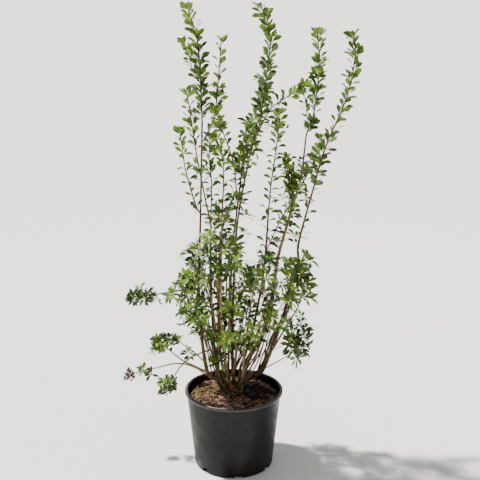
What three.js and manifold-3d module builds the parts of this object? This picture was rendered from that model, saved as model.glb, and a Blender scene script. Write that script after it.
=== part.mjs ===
// Potted redvein enkianthus: a many-stemmed shrub, 1.3 m tall, in a round nursery pot.
// Millimetres, +Z up. The origin is the middle of the pot's flat underside, and -Y is its front.
// Each stem, bough and mass of foliage is a solid of its own, 0.3 mm clear of what carries it.

import * as THREE from 'three';
import { mergeVertices } from 'three/addons/utils/BufferGeometryUtils.js';
import Module from 'manifold-3d';

const wasm = await Module();
wasm.setup();

// Pot
const POT_HEIGHT = 266;
const RIM_RADIUS = 165;
const RIM_DEPTH = 11;
const RIM_EDGE = 3;
const BODY_TOP_RADIUS = 158;
const BODY_FOOT_RADIUS = 133;
const FOOT_ROUNDING = 7;
const FOOT_STEPS = 3;
const WALL = 3;
const FLOOR_THICKNESS = 18;
const POT_SIDES = 36;
const SLOT_COUNT = 7;
const SLOT_WIDTH = 26;
const SLOT_HEIGHT = 15;
const SLOT_REACH = 15;
const FIRST_SLOT = THREE.MathUtils.degToRad(-84);

// Bark medium that fills the pot
const SOIL_LEVEL = 246;
const SEAT_GAP = 0.3;
const SEAT_STEP = 0.1;

// Limbs and twigs
const LIMB_STEP = 90;
const TWIG_STEP = 60;
const TWIG_SIDES = 3;
const BOUGH_SIDES = 5;
const STEM_SIDES = 6;
const STOUT_SIDES = 7;
const STOUT_GIRTH = 13;
const FLARE_HEIGHT = 14;
const FLARE_LEAN = 0.2;
const FLARE_GAIN = 1.3;
const EVEN_TAPER = 0.8;
const CURVE_TENSION = 0.5;
const TWIG_ROOT_RADIUS = 1.7;
const TWIG_FORK_RADIUS = 1.44;
const TWIG_TIP_RADIUS = 1.2;
const NEAR_VERTICAL = 0.9;

// Leaves
const LEAF_LENGTH = 40;
const LEAF_WIDTH = 18;
const LEAF_THICKNESS = 1.2;
const LEAF_SHOULDER = 0.6;
const LEAF_FOLD = 1.2;
const LEAF_SPACING = 50;
const FIRST_LEAF = 35;
const LAST_LEAF = 20;
const TIP_INSET = 1;
const ROOT_SPACING = 2.4;
const LEAF_LEAN = 0.85;
const TIP_LEAN = 0.45;
const WHORL_LEAN = 1.15;
const INNER_LEAN = 0.78;
const RING_JITTER = 0.4;
const TIP_LEAVES = 4;
const WHORL_LEAVES = 3;
const ROSETTE_LEAVES = 5;
const GOLDEN_ANGLE = 2.39996;
const LENGTH_RANGE = [0.85, 1.07];
const LEAN_RANGE = [0.85, 1.15];

// How the twigs of a mass share its space
const HUB_REACH = 0.9;
const MAIN_REACH = 0.75;
const FORK_SETBACK = 0.6;
const LOWEST_FORK = 0.4;
const TWIG_BOW = 0.12;
const LEAST_TWIG = 4;
const HUB_TRIES = 8;

// Room that keeps each mass to its own space
const LEAF_ROOM = 0.6;
const TWIG_ROOM = 2;
const HUB_ROOM = 9;
const SAMPLE_STEP = 5;

// Finest sizes that the solids keep
const SLIVER = 0.02;
const WELD = 1e-4;

// Stems: where each foot stands on the medium, its girths, how fast it thins where that is soon
// above the foot, and the bends it passes on its way up
const STEMS = {
  stem_left: {
    foot: [-26, 2], girth: 16, tipGirth: 4.4, taper: 2.2,
    bends: [[-58, -1, 298], [-92, -2, 340], [-115, 10, 575], [-108, 25, 845], [-100, 40, 1160]],
  },
  stem_left_inner: {
    foot: [-22, 48], girth: 10, tipGirth: 4.4,
    bends: [[-38, 32, 320], [-50, 10, 470], [-55, -30, 720], [-72, -50, 848]],
  },
  stem_left_rear: {
    foot: [-34, 72], girth: 9, tipGirth: 4.2,
    bends: [[-55, 68, 315], [-71, 80, 445], [-77, 90, 655], [-76, 95, 837]],
  },
  stem_front: {
    foot: [-8, 30], girth: 10, tipGirth: 4.4,
    bends: [[-24, 5, 340], [-39, -40, 490], [-41, -75, 690], [-37, -95, 880]],
  },
  stem_crossing: {
    foot: [-12, 66], girth: 10, tipGirth: 4,
    bends: [[-27, 62, 320], [-47, 55, 490], [-48, 20, 705], [-35, 0, 828], [8, -30, 956]],
  },
  stem_centre: {
    foot: [4, 52], girth: 13, tipGirth: 4.4, taper: 2,
    bends: [[-4, 48, 330], [-4, 35, 500], [2, 10, 680], [13, 0, 855], [53, 0, 1070], [78, 0, 1150]],
  },
  stem_centre_rear: {
    foot: [2, 88], girth: 10, tipGirth: 4.4, taper: 1.6,
    bends: [[-1, 86, 305], [-10, 110, 470], [-6, 125, 700], [24, 130, 962]],
  },
  stem_short_rear: {
    foot: [-16, 104], girth: 8, tipGirth: 4,
    bends: [[-32, 112, 340], [-30, 130, 462], [-23, 160, 633]],
  },
  stem_short_left: {
    foot: [-43, 40], girth: 8, tipGirth: 4,
    bends: [[-66, 20, 356], [-86, -30, 452], [-100, -60, 540]],
  },
  stem_right_inner: {
    foot: [18, 34], girth: 10, tipGirth: 4.2,
    bends: [[22, 22, 330], [41, 0, 397], [72, -40, 543], [96, -75, 717], [108, -100, 918]],
  },
  stem_slender: {
    foot: [27, 8], girth: 7, tipGirth: 3,
    bends: [[30, -12, 330], [38, -35, 452], [58, -62, 601], [78, -45, 690], [121, -20, 795]],
  },
  stem_right_middle: {
    foot: [26, 66], girth: 18, tipGirth: 5,
    bends: [
      [40, 70, 322], [59, 76, 358], [100, 94, 425], [134, 118, 563], [146, 130, 670],
      [174, 135, 782], [223, 120, 964],
    ],
  },
  stem_right: {
    foot: [40, 100], girth: 19, tipGirth: 4.8, taper: 1.6,
    bends: [
      [62, 98, 264], [85, 94, 278], [108, 88, 316], [166, 60, 499], [188, 45, 621],
      [211, 35, 700], [212, 30, 770], [254, 20, 949],
    ],
  },
};

// Boughs: the stem that carries each one, the height where it leaves, and the bends it passes
const BOUGHS = {
  bough_left_level: {
    carrier: 'stem_left', height: 611, girth: 4.6, tipGirth: 2.8,
    bends: [[-144, -10, 620], [-205, -34, 620]],
  },
  bough_left_low_front: {
    carrier: 'stem_left', height: 334, girth: 4.6, tipGirth: 2.8,
    bends: [[-131, -40, 364], [-165, -60, 390], [-195, -70, 419]],
  },
  bough_left_low_rear: {
    carrier: 'stem_left', height: 318, girth: 4.4, tipGirth: 2.6,
    bends: [[-128, 22, 330], [-166, 35, 338], [-205, 45, 335], [-258, 50, 320]],
  },
  bough_left_low_upper: {
    carrier: 'stem_left', height: 360, girth: 3.6, tipGirth: 2.4,
    bends: [[-121, 40, 366], [-146, 70, 376], [-173, 90, 387]],
  },
  bough_left_arching: {
    carrier: 'stem_short_left', height: 410, girth: 3.6, tipGirth: 2.4,
    bends: [[-114, -52, 412], [-143, -76, 406], [-170, -100, 391], [-190, -118, 366]],
  },
  bough_right_outer: {
    carrier: 'stem_right', height: 384, girth: 7.6, tipGirth: 4.6,
    bends: [[164, 20, 460], [206, -32, 560]],
  },
};

// Leafy shoots: each carries on from its stem's tip, or leaves its stem at a height.
// Whorls are the places along the shoot where its leaves crowd together.
const SHOOTS = {
  shoot_left_top: {
    carrier: 'stem_left', whorls: [0.08, 0.42],
    bends: [[-104, 50, 1291], [-114, 45, 1423], [-130, 40, 1474], [-141, 38, 1504]],
    side: { from: 0.33, bends: [[-131, 28, 1333], [-139, 18, 1379], [-151, 14, 1404]] },
  },
  shoot_left_twin: {
    carrier: 'stem_left', height: 1100, whorls: [0.32, 0.55],
    bends: [[-62, 8, 1181], [-47, -20, 1298], [-39, -25, 1410]],
  },
  shoot_left_outer: {
    carrier: 'stem_left', height: 870, whorls: [],
    bends: [[-127, 0, 918], [-152, -12, 1019], [-167, -18, 1132]],
  },
  shoot_left_leaning: {
    carrier: 'stem_left_inner', whorls: [0.42, 0.8],
    bends: [[-87, -60, 925], [-113, -80, 1074], [-138, -95, 1255]],
  },
  shoot_left_rear: {
    carrier: 'stem_left_rear', whorls: [0.08],
    bends: [[-73, 110, 946], [-80, 115, 1021], [-79, 118, 1092]],
  },
  shoot_front: {
    carrier: 'stem_front', whorls: [0.06],
    bends: [[-31, -110, 1018], [-37, -115, 1090], [-50, -118, 1128]],
  },
  shoot_crossing: {
    carrier: 'stem_crossing', whorls: [0.33],
    bends: [[0, -35, 1037], [-24, -45, 1117], [-52, -55, 1196]],
  },
  shoot_centre_top: {
    carrier: 'stem_centre', whorls: [0.12, 0.7],
    bends: [[88, 0, 1213], [93, 0, 1259], [112, 10, 1398], [107, 10, 1443], [86, 10, 1508]],
  },
  shoot_centre_rear: {
    carrier: 'stem_centre_rear', whorls: [0.1, 0.4],
    bends: [[43, 130, 1055], [81, 120, 1213], [97, 118, 1255]],
  },
  shoot_centre_left: {
    carrier: 'stem_centre', height: 985, whorls: [0.25, 0.62],
    bends: [[22, -40, 1010], [30, -52, 1065], [46, -60, 1150]],
  },
  shoot_slanting: {
    carrier: 'stem_centre', height: 1122, whorls: [0.9],
    bends: [[107, 34, 1190], [134, 52, 1216], [222, 76, 1268]],
  },
  shoot_right_inner: {
    carrier: 'stem_right_inner', whorls: [0.85],
    bends: [[114, -105, 992], [129, -115, 1111], [137, -120, 1205]],
  },
  shoot_right_middle_top: {
    carrier: 'stem_right_middle', whorls: [0.62, 0.72],
    bends: [[231, 115, 1058], [237, 110, 1114], [256, 105, 1170], [271, 95, 1330], [262, 92, 1424]],
    side: { from: 0.36, bends: [[233, 78, 1177], [224, 66, 1239], [214, 62, 1258]] },
  },
  shoot_right_middle_front: {
    carrier: 'stem_right_middle', height: 880, whorls: [0.35, 0.8],
    bends: [[189, 84, 965], [174, 62, 1020]],
  },
  shoot_right_middle_rear: {
    carrier: 'stem_right_middle', height: 925, whorls: [0.35, 0.6],
    bends: [[250, 156, 978], [274, 170, 1028], [285, 178, 1082]],
  },
  shoot_right_top: {
    carrier: 'stem_right', whorls: [0.75, 0.9],
    bends: [[289, 20, 1081], [350, 5, 1243], [371, 0, 1372], [362, 0, 1420]],
  },
  shoot_slender: {
    carrier: 'stem_slender', whorls: [],
    bends: [[156, -10, 867], [174, -5, 893]],
  },
};

// Masses of rosettes: the limb that carries each one, the height where its stem leaves (none: at
// the limb's tip), the middle and reach of its space, and how many rosettes share it
const CLUSTERS = {
  foliage_left_level: {
    carrier: 'bough_left_level', middle: [-284, -50, 612], reach: [56, 20, 12], rosettes: 4,
  },
  foliage_left_low_front: {
    carrier: 'bough_left_low_front', middle: [-234, -76, 458], reach: [30, 24, 26], rosettes: 3,
  },
  foliage_left_low_rear: {
    carrier: 'bough_left_low_rear', middle: [-330, 58, 298], reach: [46, 12, 14], rosettes: 2,
  },
  foliage_left_low_upper: {
    carrier: 'bough_left_low_upper', middle: [-196, 106, 398], reach: [16, 14, 12], rosettes: 2,
  },
  foliage_left_arching: {
    carrier: 'bough_left_arching', middle: [-216, -138, 338], reach: [16, 16, 20], rosettes: 2,
  },
  foliage_left_high: {
    carrier: 'stem_left', height: 690, middle: [-130, 6, 736], reach: [24, 36, 28], rosettes: 3,
  },
  foliage_left_mid: {
    carrier: 'stem_left', height: 590, middle: [-144, -22, 652], reach: [26, 40, 34], rosettes: 3,
  },
  foliage_left_front: {
    carrier: 'stem_left_inner', height: 620, middle: [-76, -88, 722], reach: [26, 24, 70], rosettes: 3,
  },
  foliage_left_short: {
    carrier: 'stem_short_left', middle: [-130, -84, 562], reach: [34, 36, 36], rosettes: 3,
  },
  foliage_left_rear: {
    carrier: 'stem_left_rear', height: 520, middle: [-104, 120, 606], reach: [32, 36, 84], rosettes: 3,
  },
  foliage_front_high: {
    carrier: 'stem_front', height: 660, middle: [-14, -116, 748], reach: [26, 28, 60], rosettes: 3,
  },
  foliage_front_low: {
    carrier: 'stem_front', height: 440, middle: [-4, -90, 536], reach: [40, 40, 84], rosettes: 3,
  },
  foliage_rear_short: {
    carrier: 'stem_short_rear', middle: [-14, 178, 700], reach: [40, 36, 60], rosettes: 3,
  },
  foliage_centre_rear: {
    carrier: 'stem_centre_rear', height: 480, middle: [40, 158, 580], reach: [36, 34, 84], rosettes: 3,
  },
  foliage_right_inner: {
    carrier: 'stem_right_inner', height: 600, middle: [104, -112, 700], reach: [38, 28, 84], rosettes: 3,
  },
  foliage_right_middle: {
    carrier: 'stem_right_middle', height: 500, middle: [118, 84, 614], reach: [38, 40, 84], rosettes: 3,
  },
  foliage_right_front: {
    carrier: 'stem_slender', height: 480, middle: [92, -84, 540], reach: [44, 32, 50], rosettes: 3,
  },
  foliage_right_high: {
    carrier: 'stem_right', height: 610, middle: [208, -10, 692], reach: [40, 40, 38], rosettes: 4,
  },
  foliage_right_rear: {
    carrier: 'stem_right', height: 500, middle: [188, 112, 560], reach: [34, 38, 56], rosettes: 3,
  },
  foliage_right_outer: {
    carrier: 'bough_right_outer', middle: [226, -54, 632], reach: [20, 18, 38], rosettes: 2,
  },
  foliage_right_low: {
    carrier: 'stem_right_middle', height: 340, middle: [206, -66, 472], reach: [28, 24, 60], rosettes: 3,
  },
};

const SHOOT_SEED = 101;
const CLUSTER_SEED = 501;

const vec = (x, y, z) => new THREE.Vector3(x, y, z);
const UP = vec(0, 0, 1);

// The same throws on every run, so the plant always grows alike
function seededDice(seed) {
  let state = seed >>> 0;
  return () => {
    state = (state + 0x6d2b79f5) >>> 0;
    let mixed = Math.imul(state ^ (state >>> 15), state | 1);
    mixed ^= mixed + Math.imul(mixed ^ (mixed >>> 7), mixed | 61);
    return ((mixed ^ (mixed >>> 14)) >>> 0) / 2 ** 32;
  };
}

const within = ([least, most], dice) => least + (most - least) * dice();

// Solids and meshes
function solidFromArrays(vertProperties, triVerts) {
  return new wasm.Manifold(new wasm.Mesh({
    numProp: 3,
    vertProperties: new Float32Array(vertProperties),
    triVerts: new Uint32Array(triVerts),
  }));
}

function solidFromGeometry(geometry) {
  geometry.deleteAttribute('normal');
  geometry.deleteAttribute('uv');
  const merged = mergeVertices(geometry, WELD);
  const corners = merged.index.array;
  const faces = [];
  for (let i = 0; i < corners.length; i += 3) {
    const [a, b, c] = corners.slice(i, i + 3);
    if (a !== b && b !== c && c !== a) {
      faces.push(a, b, c);
    }
  }
  return solidFromArrays(merged.attributes.position.array, faces);
}

function meshFromSolid(name, solid, material) {
  const { vertProperties, triVerts } = solid.getMesh();
  const geometry = new THREE.BufferGeometry();
  geometry.setAttribute('position', new THREE.BufferAttribute(vertProperties, 3));
  geometry.setIndex(new THREE.BufferAttribute(triVerts, 1));
  geometry.computeVertexNormals();
  const mesh = new THREE.Mesh(geometry, material);
  mesh.name = name;
  return mesh;
}

// Parts fused into one body: scraps that float loose and hollows sealed by the fusing are dropped
function fuse(solids) {
  const joined = wasm.Manifold.union(solids).simplify(SLIVER);
  const bodies = joined.decompose();
  return bodies.reduce((largest, body) => (body.volume() > largest.volume() ? body : largest));
}

// A smooth run through its waypoints, stepped evenly between them
function traceRun(waypoints, step) {
  const curve = new THREE.CatmullRomCurve3(waypoints, false, 'catmullrom', CURVE_TENSION);
  const points = [waypoints[0].clone()];
  for (let i = 1; i < waypoints.length; i += 1) {
    const count = Math.max(1, Math.round(waypoints[i].distanceTo(waypoints[i - 1]) / step));
    for (let k = 1; k <= count; k += 1) {
      points.push(curve.getPoint((i - 1 + k / count) / (waypoints.length - 1)));
    }
  }
  return points;
}

function runLengths(points) {
  const lengths = [0];
  for (let i = 1; i < points.length; i += 1) {
    lengths.push(lengths[i - 1] + points[i].distanceTo(points[i - 1]));
  }
  return lengths;
}

function tangentAt(points, i) {
  const ahead = points[Math.min(i + 1, points.length - 1)];
  const behind = points[Math.max(i - 1, 0)];
  return ahead.clone().sub(behind).normalize();
}

function sideways(direction, spin) {
  const across = Math.abs(direction.z) < NEAR_VERTICAL ? vec(0, 0, 1) : vec(1, 0, 0);
  const first = across.cross(direction).normalize();
  return first.applyAxisAngle(direction, spin);
}

// A limb or twig: its run, its radius at each point of the run, and the way its root faces
function growLimb(waypoints, rootRadius, tipRadius, step, rootFacing, taper = EVEN_TAPER) {
  const points = traceRun(waypoints, step);
  const lengths = runLengths(points);
  const whole = lengths[lengths.length - 1];
  const radii = lengths.map(
    (length) => tipRadius + (rootRadius - tipRadius) * (1 - length / whole) ** taper,
  );
  return { points, lengths, whole, radii, rootFacing };
}

function limbSolid(limb, sides) {
  const { points, radii, rootFacing } = limb;
  const corners = [];
  let across = null;
  points.forEach((centre, i) => {
    const along = i === 0 && rootFacing ? rootFacing : tangentAt(points, i);
    if (across) {
      across.addScaledVector(along, -across.dot(along)).normalize();
    } else {
      across = sideways(along, 0);
    }
    const over = along.clone().cross(across);
    for (let j = 0; j < sides; j += 1) {
      const turn = (2 * Math.PI * j) / sides;
      const corner = centre.clone();
      corner.addScaledVector(across, radii[i] * Math.cos(turn));
      corner.addScaledVector(over, radii[i] * Math.sin(turn));
      corners.push(corner.x, corner.y, corner.z);
    }
  });
  const faces = [];
  for (let i = 0; i + 1 < points.length; i += 1) {
    for (let j = 0; j < sides; j += 1) {
      const here = i * sides + j;
      const next = i * sides + ((j + 1) % sides);
      faces.push(here, next, next + sides);
      faces.push(here, next + sides, here + sides);
    }
  }
  const end = (points.length - 1) * sides;
  for (let j = 1; j + 1 < sides; j += 1) {
    faces.push(0, j + 1, j);
    faces.push(end, end + j, end + j + 1);
  }
  return solidFromArrays(corners, faces);
}

function placeAtTip(limb) {
  const last = limb.points.length - 1;
  return { point: limb.points[last].clone(), along: tangentAt(limb.points, last), radius: limb.radii[last] };
}

function placeAtHeight(limb, height) {
  for (let i = 1; i < limb.points.length; i += 1) {
    const low = limb.points[i - 1];
    const high = limb.points[i];
    if ((low.z - height) * (high.z - height) <= 0) {
      const share = (height - low.z) / (high.z - low.z);
      return {
        point: low.clone().lerp(high, share),
        along: high.clone().sub(low).normalize(),
        radius: limb.radii[i - 1] + (limb.radii[i] - limb.radii[i - 1]) * share,
      };
    }
  }
  throw new Error(`no point of the limb is at ${height}`);
}

// A limb that carries on from its carrier's tip, as thick as the carrier ends
function growFromTip(carrier, targets, tipRadius, step) {
  const { point, along, radius } = placeAtTip(carrier);
  const root = point.addScaledVector(along, SEAT_GAP);
  return growLimb([root, ...targets], radius, tipRadius, step, along);
}

// A limb that comes out of its carrier's side: its root slides in until it touches the bark
function growFromSide(carrier, height, targets, girth, tipRadius, step, sides) {
  const { point, along, radius } = placeAtHeight(carrier, height);
  const out = targets[0].clone().sub(point);
  out.addScaledVector(along, -out.dot(along)).normalize();
  const growAt = (reach) => {
    const root = point.clone().addScaledVector(out, reach);
    const knuckle = root.clone().addScaledVector(out, girth).addScaledVector(along, girth / 2);
    return growLimb([root, knuckle, ...targets], girth / 2, tipRadius, step, out);
  };
  let reach = radius;
  while (limbSolid(growAt(reach), sides).intersect(carrier.solid).isEmpty()) {
    reach -= SEAT_STEP;
  }
  return growAt(reach + SEAT_STEP + SEAT_GAP);
}

function growMainTwig(carrier, height, targets) {
  if (height === undefined) {
    return growFromTip(carrier, targets, TWIG_TIP_RADIUS, TWIG_STEP);
  }
  const girth = 2 * TWIG_ROOT_RADIUS;
  return growFromSide(carrier, height, targets, girth, TWIG_TIP_RADIUS, TWIG_STEP, TWIG_SIDES);
}

// Every limb and twig grown so far, as straight stretches that later twigs keep clear of
const stretches = [];

function claimSpace(owner, limb) {
  for (let i = 1; i < limb.points.length; i += 1) {
    const line = new THREE.Line3(limb.points[i - 1], limb.points[i]);
    stretches.push({ owner, line, radius: limb.radii[i - 1] });
  }
}

function isClear(owner, point, room) {
  const nearest = vec(0, 0, 0);
  return stretches.every((stretch) => {
    if (stretch.owner === owner) {
      return true;
    }
    stretch.line.closestPointToPoint(point, true, nearest);
    return nearest.distanceTo(point) > stretch.radius + room;
  });
}

function twigIsClear(owner, twig) {
  for (let i = 1; i < twig.points.length; i += 1) {
    const low = twig.points[i - 1];
    const high = twig.points[i];
    const count = Math.ceil(low.distanceTo(high) / SAMPLE_STEP);
    for (let k = 1; k <= count; k += 1) {
      if (!isClear(owner, low.clone().lerp(high, k / count), TWIG_TIP_RADIUS + TWIG_ROOM)) {
        return false;
      }
    }
  }
  return true;
}

// Where a length along a limb falls
function placeAlong(limb, length) {
  const { points, lengths } = limb;
  let i = 1;
  while (i + 1 < points.length && lengths[i] < length) {
    i += 1;
  }
  const share = (length - lengths[i - 1]) / (lengths[i] - lengths[i - 1]);
  return {
    point: points[i - 1].clone().lerp(points[i], share),
    along: points[i].clone().sub(points[i - 1]).normalize(),
  };
}

function nearestLength(limb, target) {
  let best = 0;
  limb.points.forEach((point, i) => {
    if (point.distanceTo(target) < limb.points[best].distanceTo(target)) {
      best = i;
    }
  });
  return limb.lengths[best];
}

// A leaf: a thin kite, folded along its midrib, thickest at the root that sinks into its twig
function leafSolid({ root, heading, facing, length }, room) {
  const across = facing.clone().cross(heading).normalize();
  const halfWidth = (length * LEAF_WIDTH) / LEAF_LENGTH / 2 + room;
  const halfThickness = LEAF_THICKNESS / 2 + room;
  const corner = (ahead, aside, above) => {
    const point = root.clone().addScaledVector(heading, ahead);
    point.addScaledVector(across, aside).addScaledVector(facing, above);
    return [point.x, point.y, point.z];
  };
  const corners = [
    corner(0, 0, halfThickness),
    corner(0, 0, -halfThickness),
    corner(length * LEAF_SHOULDER, halfWidth, LEAF_FOLD),
    corner(length * LEAF_SHOULDER, -halfWidth, LEAF_FOLD),
    corner(length + room, 0, 0),
  ];
  const [above, below, left, right, tip] = corners.keys();
  const faces = [
    above, tip, left, above, right, tip,
    below, left, tip, below, tip, right,
    above, left, below, above, below, right,
  ];
  return solidFromArrays(corners.flat(), faces);
}

// A leaf that leans out from its twig at an angle, its upper side towards the twig's tip
function leaningLeaf(point, along, spin, lean, length) {
  const outward = sideways(along, spin);
  const heading = along.clone().multiplyScalar(Math.cos(lean)).addScaledVector(outward, Math.sin(lean));
  const facing = along.clone().multiplyScalar(Math.sin(lean)).addScaledVector(outward, -Math.cos(lean));
  return { root: point, heading, facing, length };
}

// Leaves crowded round one place, their roots stepped back a little one behind another
function ringOfLeaves({ point, along }, count, lean, dice) {
  const leaves = [];
  const start = dice() * 2 * Math.PI;
  for (let k = 0; k < count; k += 1) {
    const spin = start + (2 * Math.PI * (k + RING_JITTER * dice())) / count;
    const tilt = k % 2 === 0 ? lean : lean * INNER_LEAN;
    const root = point.clone().addScaledVector(along, -ROOT_SPACING * k);
    leaves.push(leaningLeaf(root, along, spin, tilt, LEAF_LENGTH * within(LENGTH_RANGE, dice)));
  }
  return leaves;
}

// Leaves one by one round a shoot, crowded into whorls at some places and in a bunch at the tip
function leavesOfShoot(twig, whorls, dice) {
  const leaves = [];
  let spin = dice() * 2 * Math.PI;
  for (let length = FIRST_LEAF; length < twig.whole - LAST_LEAF; length += LEAF_SPACING) {
    const { point, along } = placeAlong(twig, length);
    const lean = LEAF_LEAN * within(LEAN_RANGE, dice);
    leaves.push(leaningLeaf(point, along, spin, lean, LEAF_LENGTH * within(LENGTH_RANGE, dice)));
    spin += GOLDEN_ANGLE;
  }
  whorls.forEach((share) => {
    leaves.push(...ringOfLeaves(placeAlong(twig, share * twig.whole), WHORL_LEAVES, WHORL_LEAN, dice));
  });
  leaves.push(...ringOfLeaves(placeAlong(twig, twig.whole - TIP_INSET), TIP_LEAVES, TIP_LEAN, dice));
  return leaves;
}

// A leafy shoot, with the side shoot that some have
function growShoot(name, { carrier, height, whorls, bends, side }, limbs, dice) {
  const main = growMainTwig(limbs[carrier], height, bends.map((bend) => vec(...bend)));
  const twigs = [main];
  const leaves = leavesOfShoot(main, whorls, dice);
  if (side) {
    const fork = placeAlong(main, side.from * main.whole).point;
    const waypoints = [fork, ...side.bends.map((bend) => vec(...bend))];
    const twig = growLimb(waypoints, TWIG_ROOT_RADIUS, TWIG_TIP_RADIUS, TWIG_STEP);
    twigs.push(twig);
    leaves.push(...leavesOfShoot(twig, [], dice));
  }
  twigs.forEach((twig) => claimSpace(name, twig));
  return { name, twigs, leaves };
}

// The places where the rosettes of a mass sit: a spiral over the surface of its space
function rosettePlace({ middle, reach, rosettes }, i, turn) {
  const level = 1 - (2 * i + 1) / rosettes;
  const width = Math.sqrt(1 - level * level);
  const spin = i * GOLDEN_ANGLE + turn;
  const place = vec(width * Math.cos(spin), width * Math.sin(spin), level).multiplyScalar(HUB_REACH);
  return place.multiply(vec(...reach)).add(vec(...middle));
}

// A twig that forks off a mass's own stem, a little behind its rosette, and bows up to it
function twigToHub(main, hub) {
  const from = nearestLength(main, hub);
  const distance = placeAlong(main, from).point.distanceTo(hub);
  const setBack = Math.max(from - FORK_SETBACK * distance, from * LOWEST_FORK);
  const { point: fork, along } = placeAlong(main, setBack);
  const bend = fork.clone().lerp(hub, 0.5).addScaledVector(along, TWIG_BOW * distance);
  return growLimb([fork, bend, hub], TWIG_FORK_RADIUS, TWIG_TIP_RADIUS, TWIG_STEP);
}

// A mass of rosettes: one stem into the middle of its space, and a twig from it to each rosette
function growCluster(name, spec, limbs, dice) {
  const carrier = limbs[spec.carrier];
  const seat = spec.height === undefined ? placeAtTip(carrier) : placeAtHeight(carrier, spec.height);
  const middle = vec(...spec.middle);
  const end = middle.clone().sub(seat.point).normalize().multiply(vec(...spec.reach));
  end.multiplyScalar(MAIN_REACH).add(middle);
  const main = growMainTwig(carrier, spec.height, [middle, end]);
  const twigs = [main];
  claimSpace(name, main);
  const phase = dice() * 2 * Math.PI;
  for (let i = 1; i < spec.rosettes; i += 1) {
    for (let attempt = 0; attempt < HUB_TRIES; attempt += 1) {
      const hub = rosettePlace(spec, i, phase + attempt);
      const twig = twigToHub(main, hub);
      const clear = isClear(name, hub, HUB_ROOM) && twigIsClear(name, twig);
      if (clear && twig.whole > LEAST_TWIG) {
        twigs.push(twig);
        claimSpace(name, twig);
        break;
      }
    }
  }
  const leaves = twigs.flatMap((twig) => {
    const tip = placeAtTip(twig);
    tip.along.add(UP).normalize();
    return ringOfLeaves(tip, ROSETTE_LEAVES, WHORL_LEAN, dice);
  });
  return { name, twigs, leaves };
}

// The nursery pot: tapered wall, rounded foot, rolled rim, and drain slots cut in its thick floor
function innerRadius(height) {
  const share = (height - FOOT_ROUNDING) / (POT_HEIGHT - FOOT_ROUNDING);
  return BODY_FOOT_RADIUS - WALL + (BODY_TOP_RADIUS - BODY_FOOT_RADIUS) * share;
}

function turned(profile) {
  const geometry = new THREE.LatheGeometry(profile.map(([r, z]) => new THREE.Vector2(r, z)), POT_SIDES);
  return solidFromGeometry(geometry.rotateX(Math.PI / 2));
}

function footRounding() {
  const profile = [];
  for (let k = 0; k <= FOOT_STEPS; k += 1) {
    const turn = (Math.PI * k) / FOOT_STEPS / 2;
    const radius = BODY_FOOT_RADIUS - FOOT_ROUNDING * (1 - Math.sin(turn));
    profile.push([radius, FOOT_ROUNDING * (1 - Math.cos(turn))]);
  }
  return profile;
}

function makePot() {
  const rimFoot = POT_HEIGHT - RIM_DEPTH;
  const shell = turned([
    [0, 0],
    ...footRounding(),
    [BODY_TOP_RADIUS, rimFoot],
    [RIM_RADIUS - RIM_EDGE, rimFoot],
    [RIM_RADIUS, rimFoot + RIM_EDGE],
    [RIM_RADIUS, POT_HEIGHT - RIM_EDGE],
    [RIM_RADIUS - RIM_EDGE, POT_HEIGHT],
    [innerRadius(POT_HEIGHT), POT_HEIGHT],
    [innerRadius(FLOOR_THICKNESS), FLOOR_THICKNESS],
    [0, FLOOR_THICKNESS],
  ]);
  const slots = [];
  for (let i = 0; i < SLOT_COUNT; i += 1) {
    const slot = new THREE.BoxGeometry(2 * SLOT_REACH, SLOT_WIDTH, 2 * SLOT_HEIGHT);
    slot.translate(BODY_FOOT_RADIUS, 0, 0).rotateZ(FIRST_SLOT + (2 * Math.PI * i) / SLOT_COUNT);
    slots.push(solidFromGeometry(slot));
  }
  return shell.subtract(wasm.Manifold.union(slots));
}

function makeMedium() {
  const low = FLOOR_THICKNESS + SEAT_GAP;
  return turned([
    [0, low],
    [innerRadius(low) - SEAT_GAP, low],
    [innerRadius(SOIL_LEVEL) - SEAT_GAP, SOIL_LEVEL],
    [0, SOIL_LEVEL],
  ]);
}

// Stems stand on the medium on a flat cut foot
function growStem({ foot, girth, tipGirth, taper, bends }) {
  const root = vec(foot[0], foot[1], SOIL_LEVEL + SEAT_GAP);
  const targets = bends.map((bend) => vec(...bend));
  const flareTop = root.clone().lerp(targets[0], FLARE_LEAN).setZ(root.z + FLARE_HEIGHT);
  const stem = growLimb([root, flareTop, ...targets], girth / 2, tipGirth / 2, LIMB_STEP, UP, taper);
  stem.radii[0] *= FLARE_GAIN;
  stem.solid = limbSolid(stem, girth >= STOUT_GIRTH ? STOUT_SIDES : STEM_SIDES);
  return stem;
}

function growBough({ carrier, height, girth, tipGirth, bends }, limbs) {
  const targets = bends.map((bend) => vec(...bend));
  const tipRadius = tipGirth / 2;
  const bough = growFromSide(limbs[carrier], height, targets, girth, tipRadius, LIMB_STEP, BOUGH_SIDES);
  bough.solid = limbSolid(bough, BOUGH_SIDES);
  return bough;
}

// Materials
const finish = (color, roughness) => new THREE.MeshStandardMaterial({ color, roughness, metalness: 0 });
const PLASTIC = finish(0x2f2e2c, 0.55);
const BARK_CHIPS = finish(0x7d5f48, 0.95);
const STEM_BARK = finish(0x6f6250, 0.85);
const LEAF_GREEN = finish(0x5d8a2c, 0.6);

// The plant, limb by limb and then mass by mass
const plant = new THREE.Group();
plant.add(meshFromSolid('pot', makePot(), PLASTIC));
plant.add(meshFromSolid('potting_medium', makeMedium(), BARK_CHIPS));

const limbs = {};
const solids = {};
Object.entries(STEMS).forEach(([name, spec]) => {
  limbs[name] = growStem(spec);
});
Object.entries(BOUGHS).forEach(([name, spec]) => {
  limbs[name] = growBough(spec, limbs);
});
Object.entries(limbs).forEach(([name, limb]) => {
  claimSpace(name, limb);
  solids[name] = limb.solid;
  plant.add(meshFromSolid(name, limb.solid, STEM_BARK));
});

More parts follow.
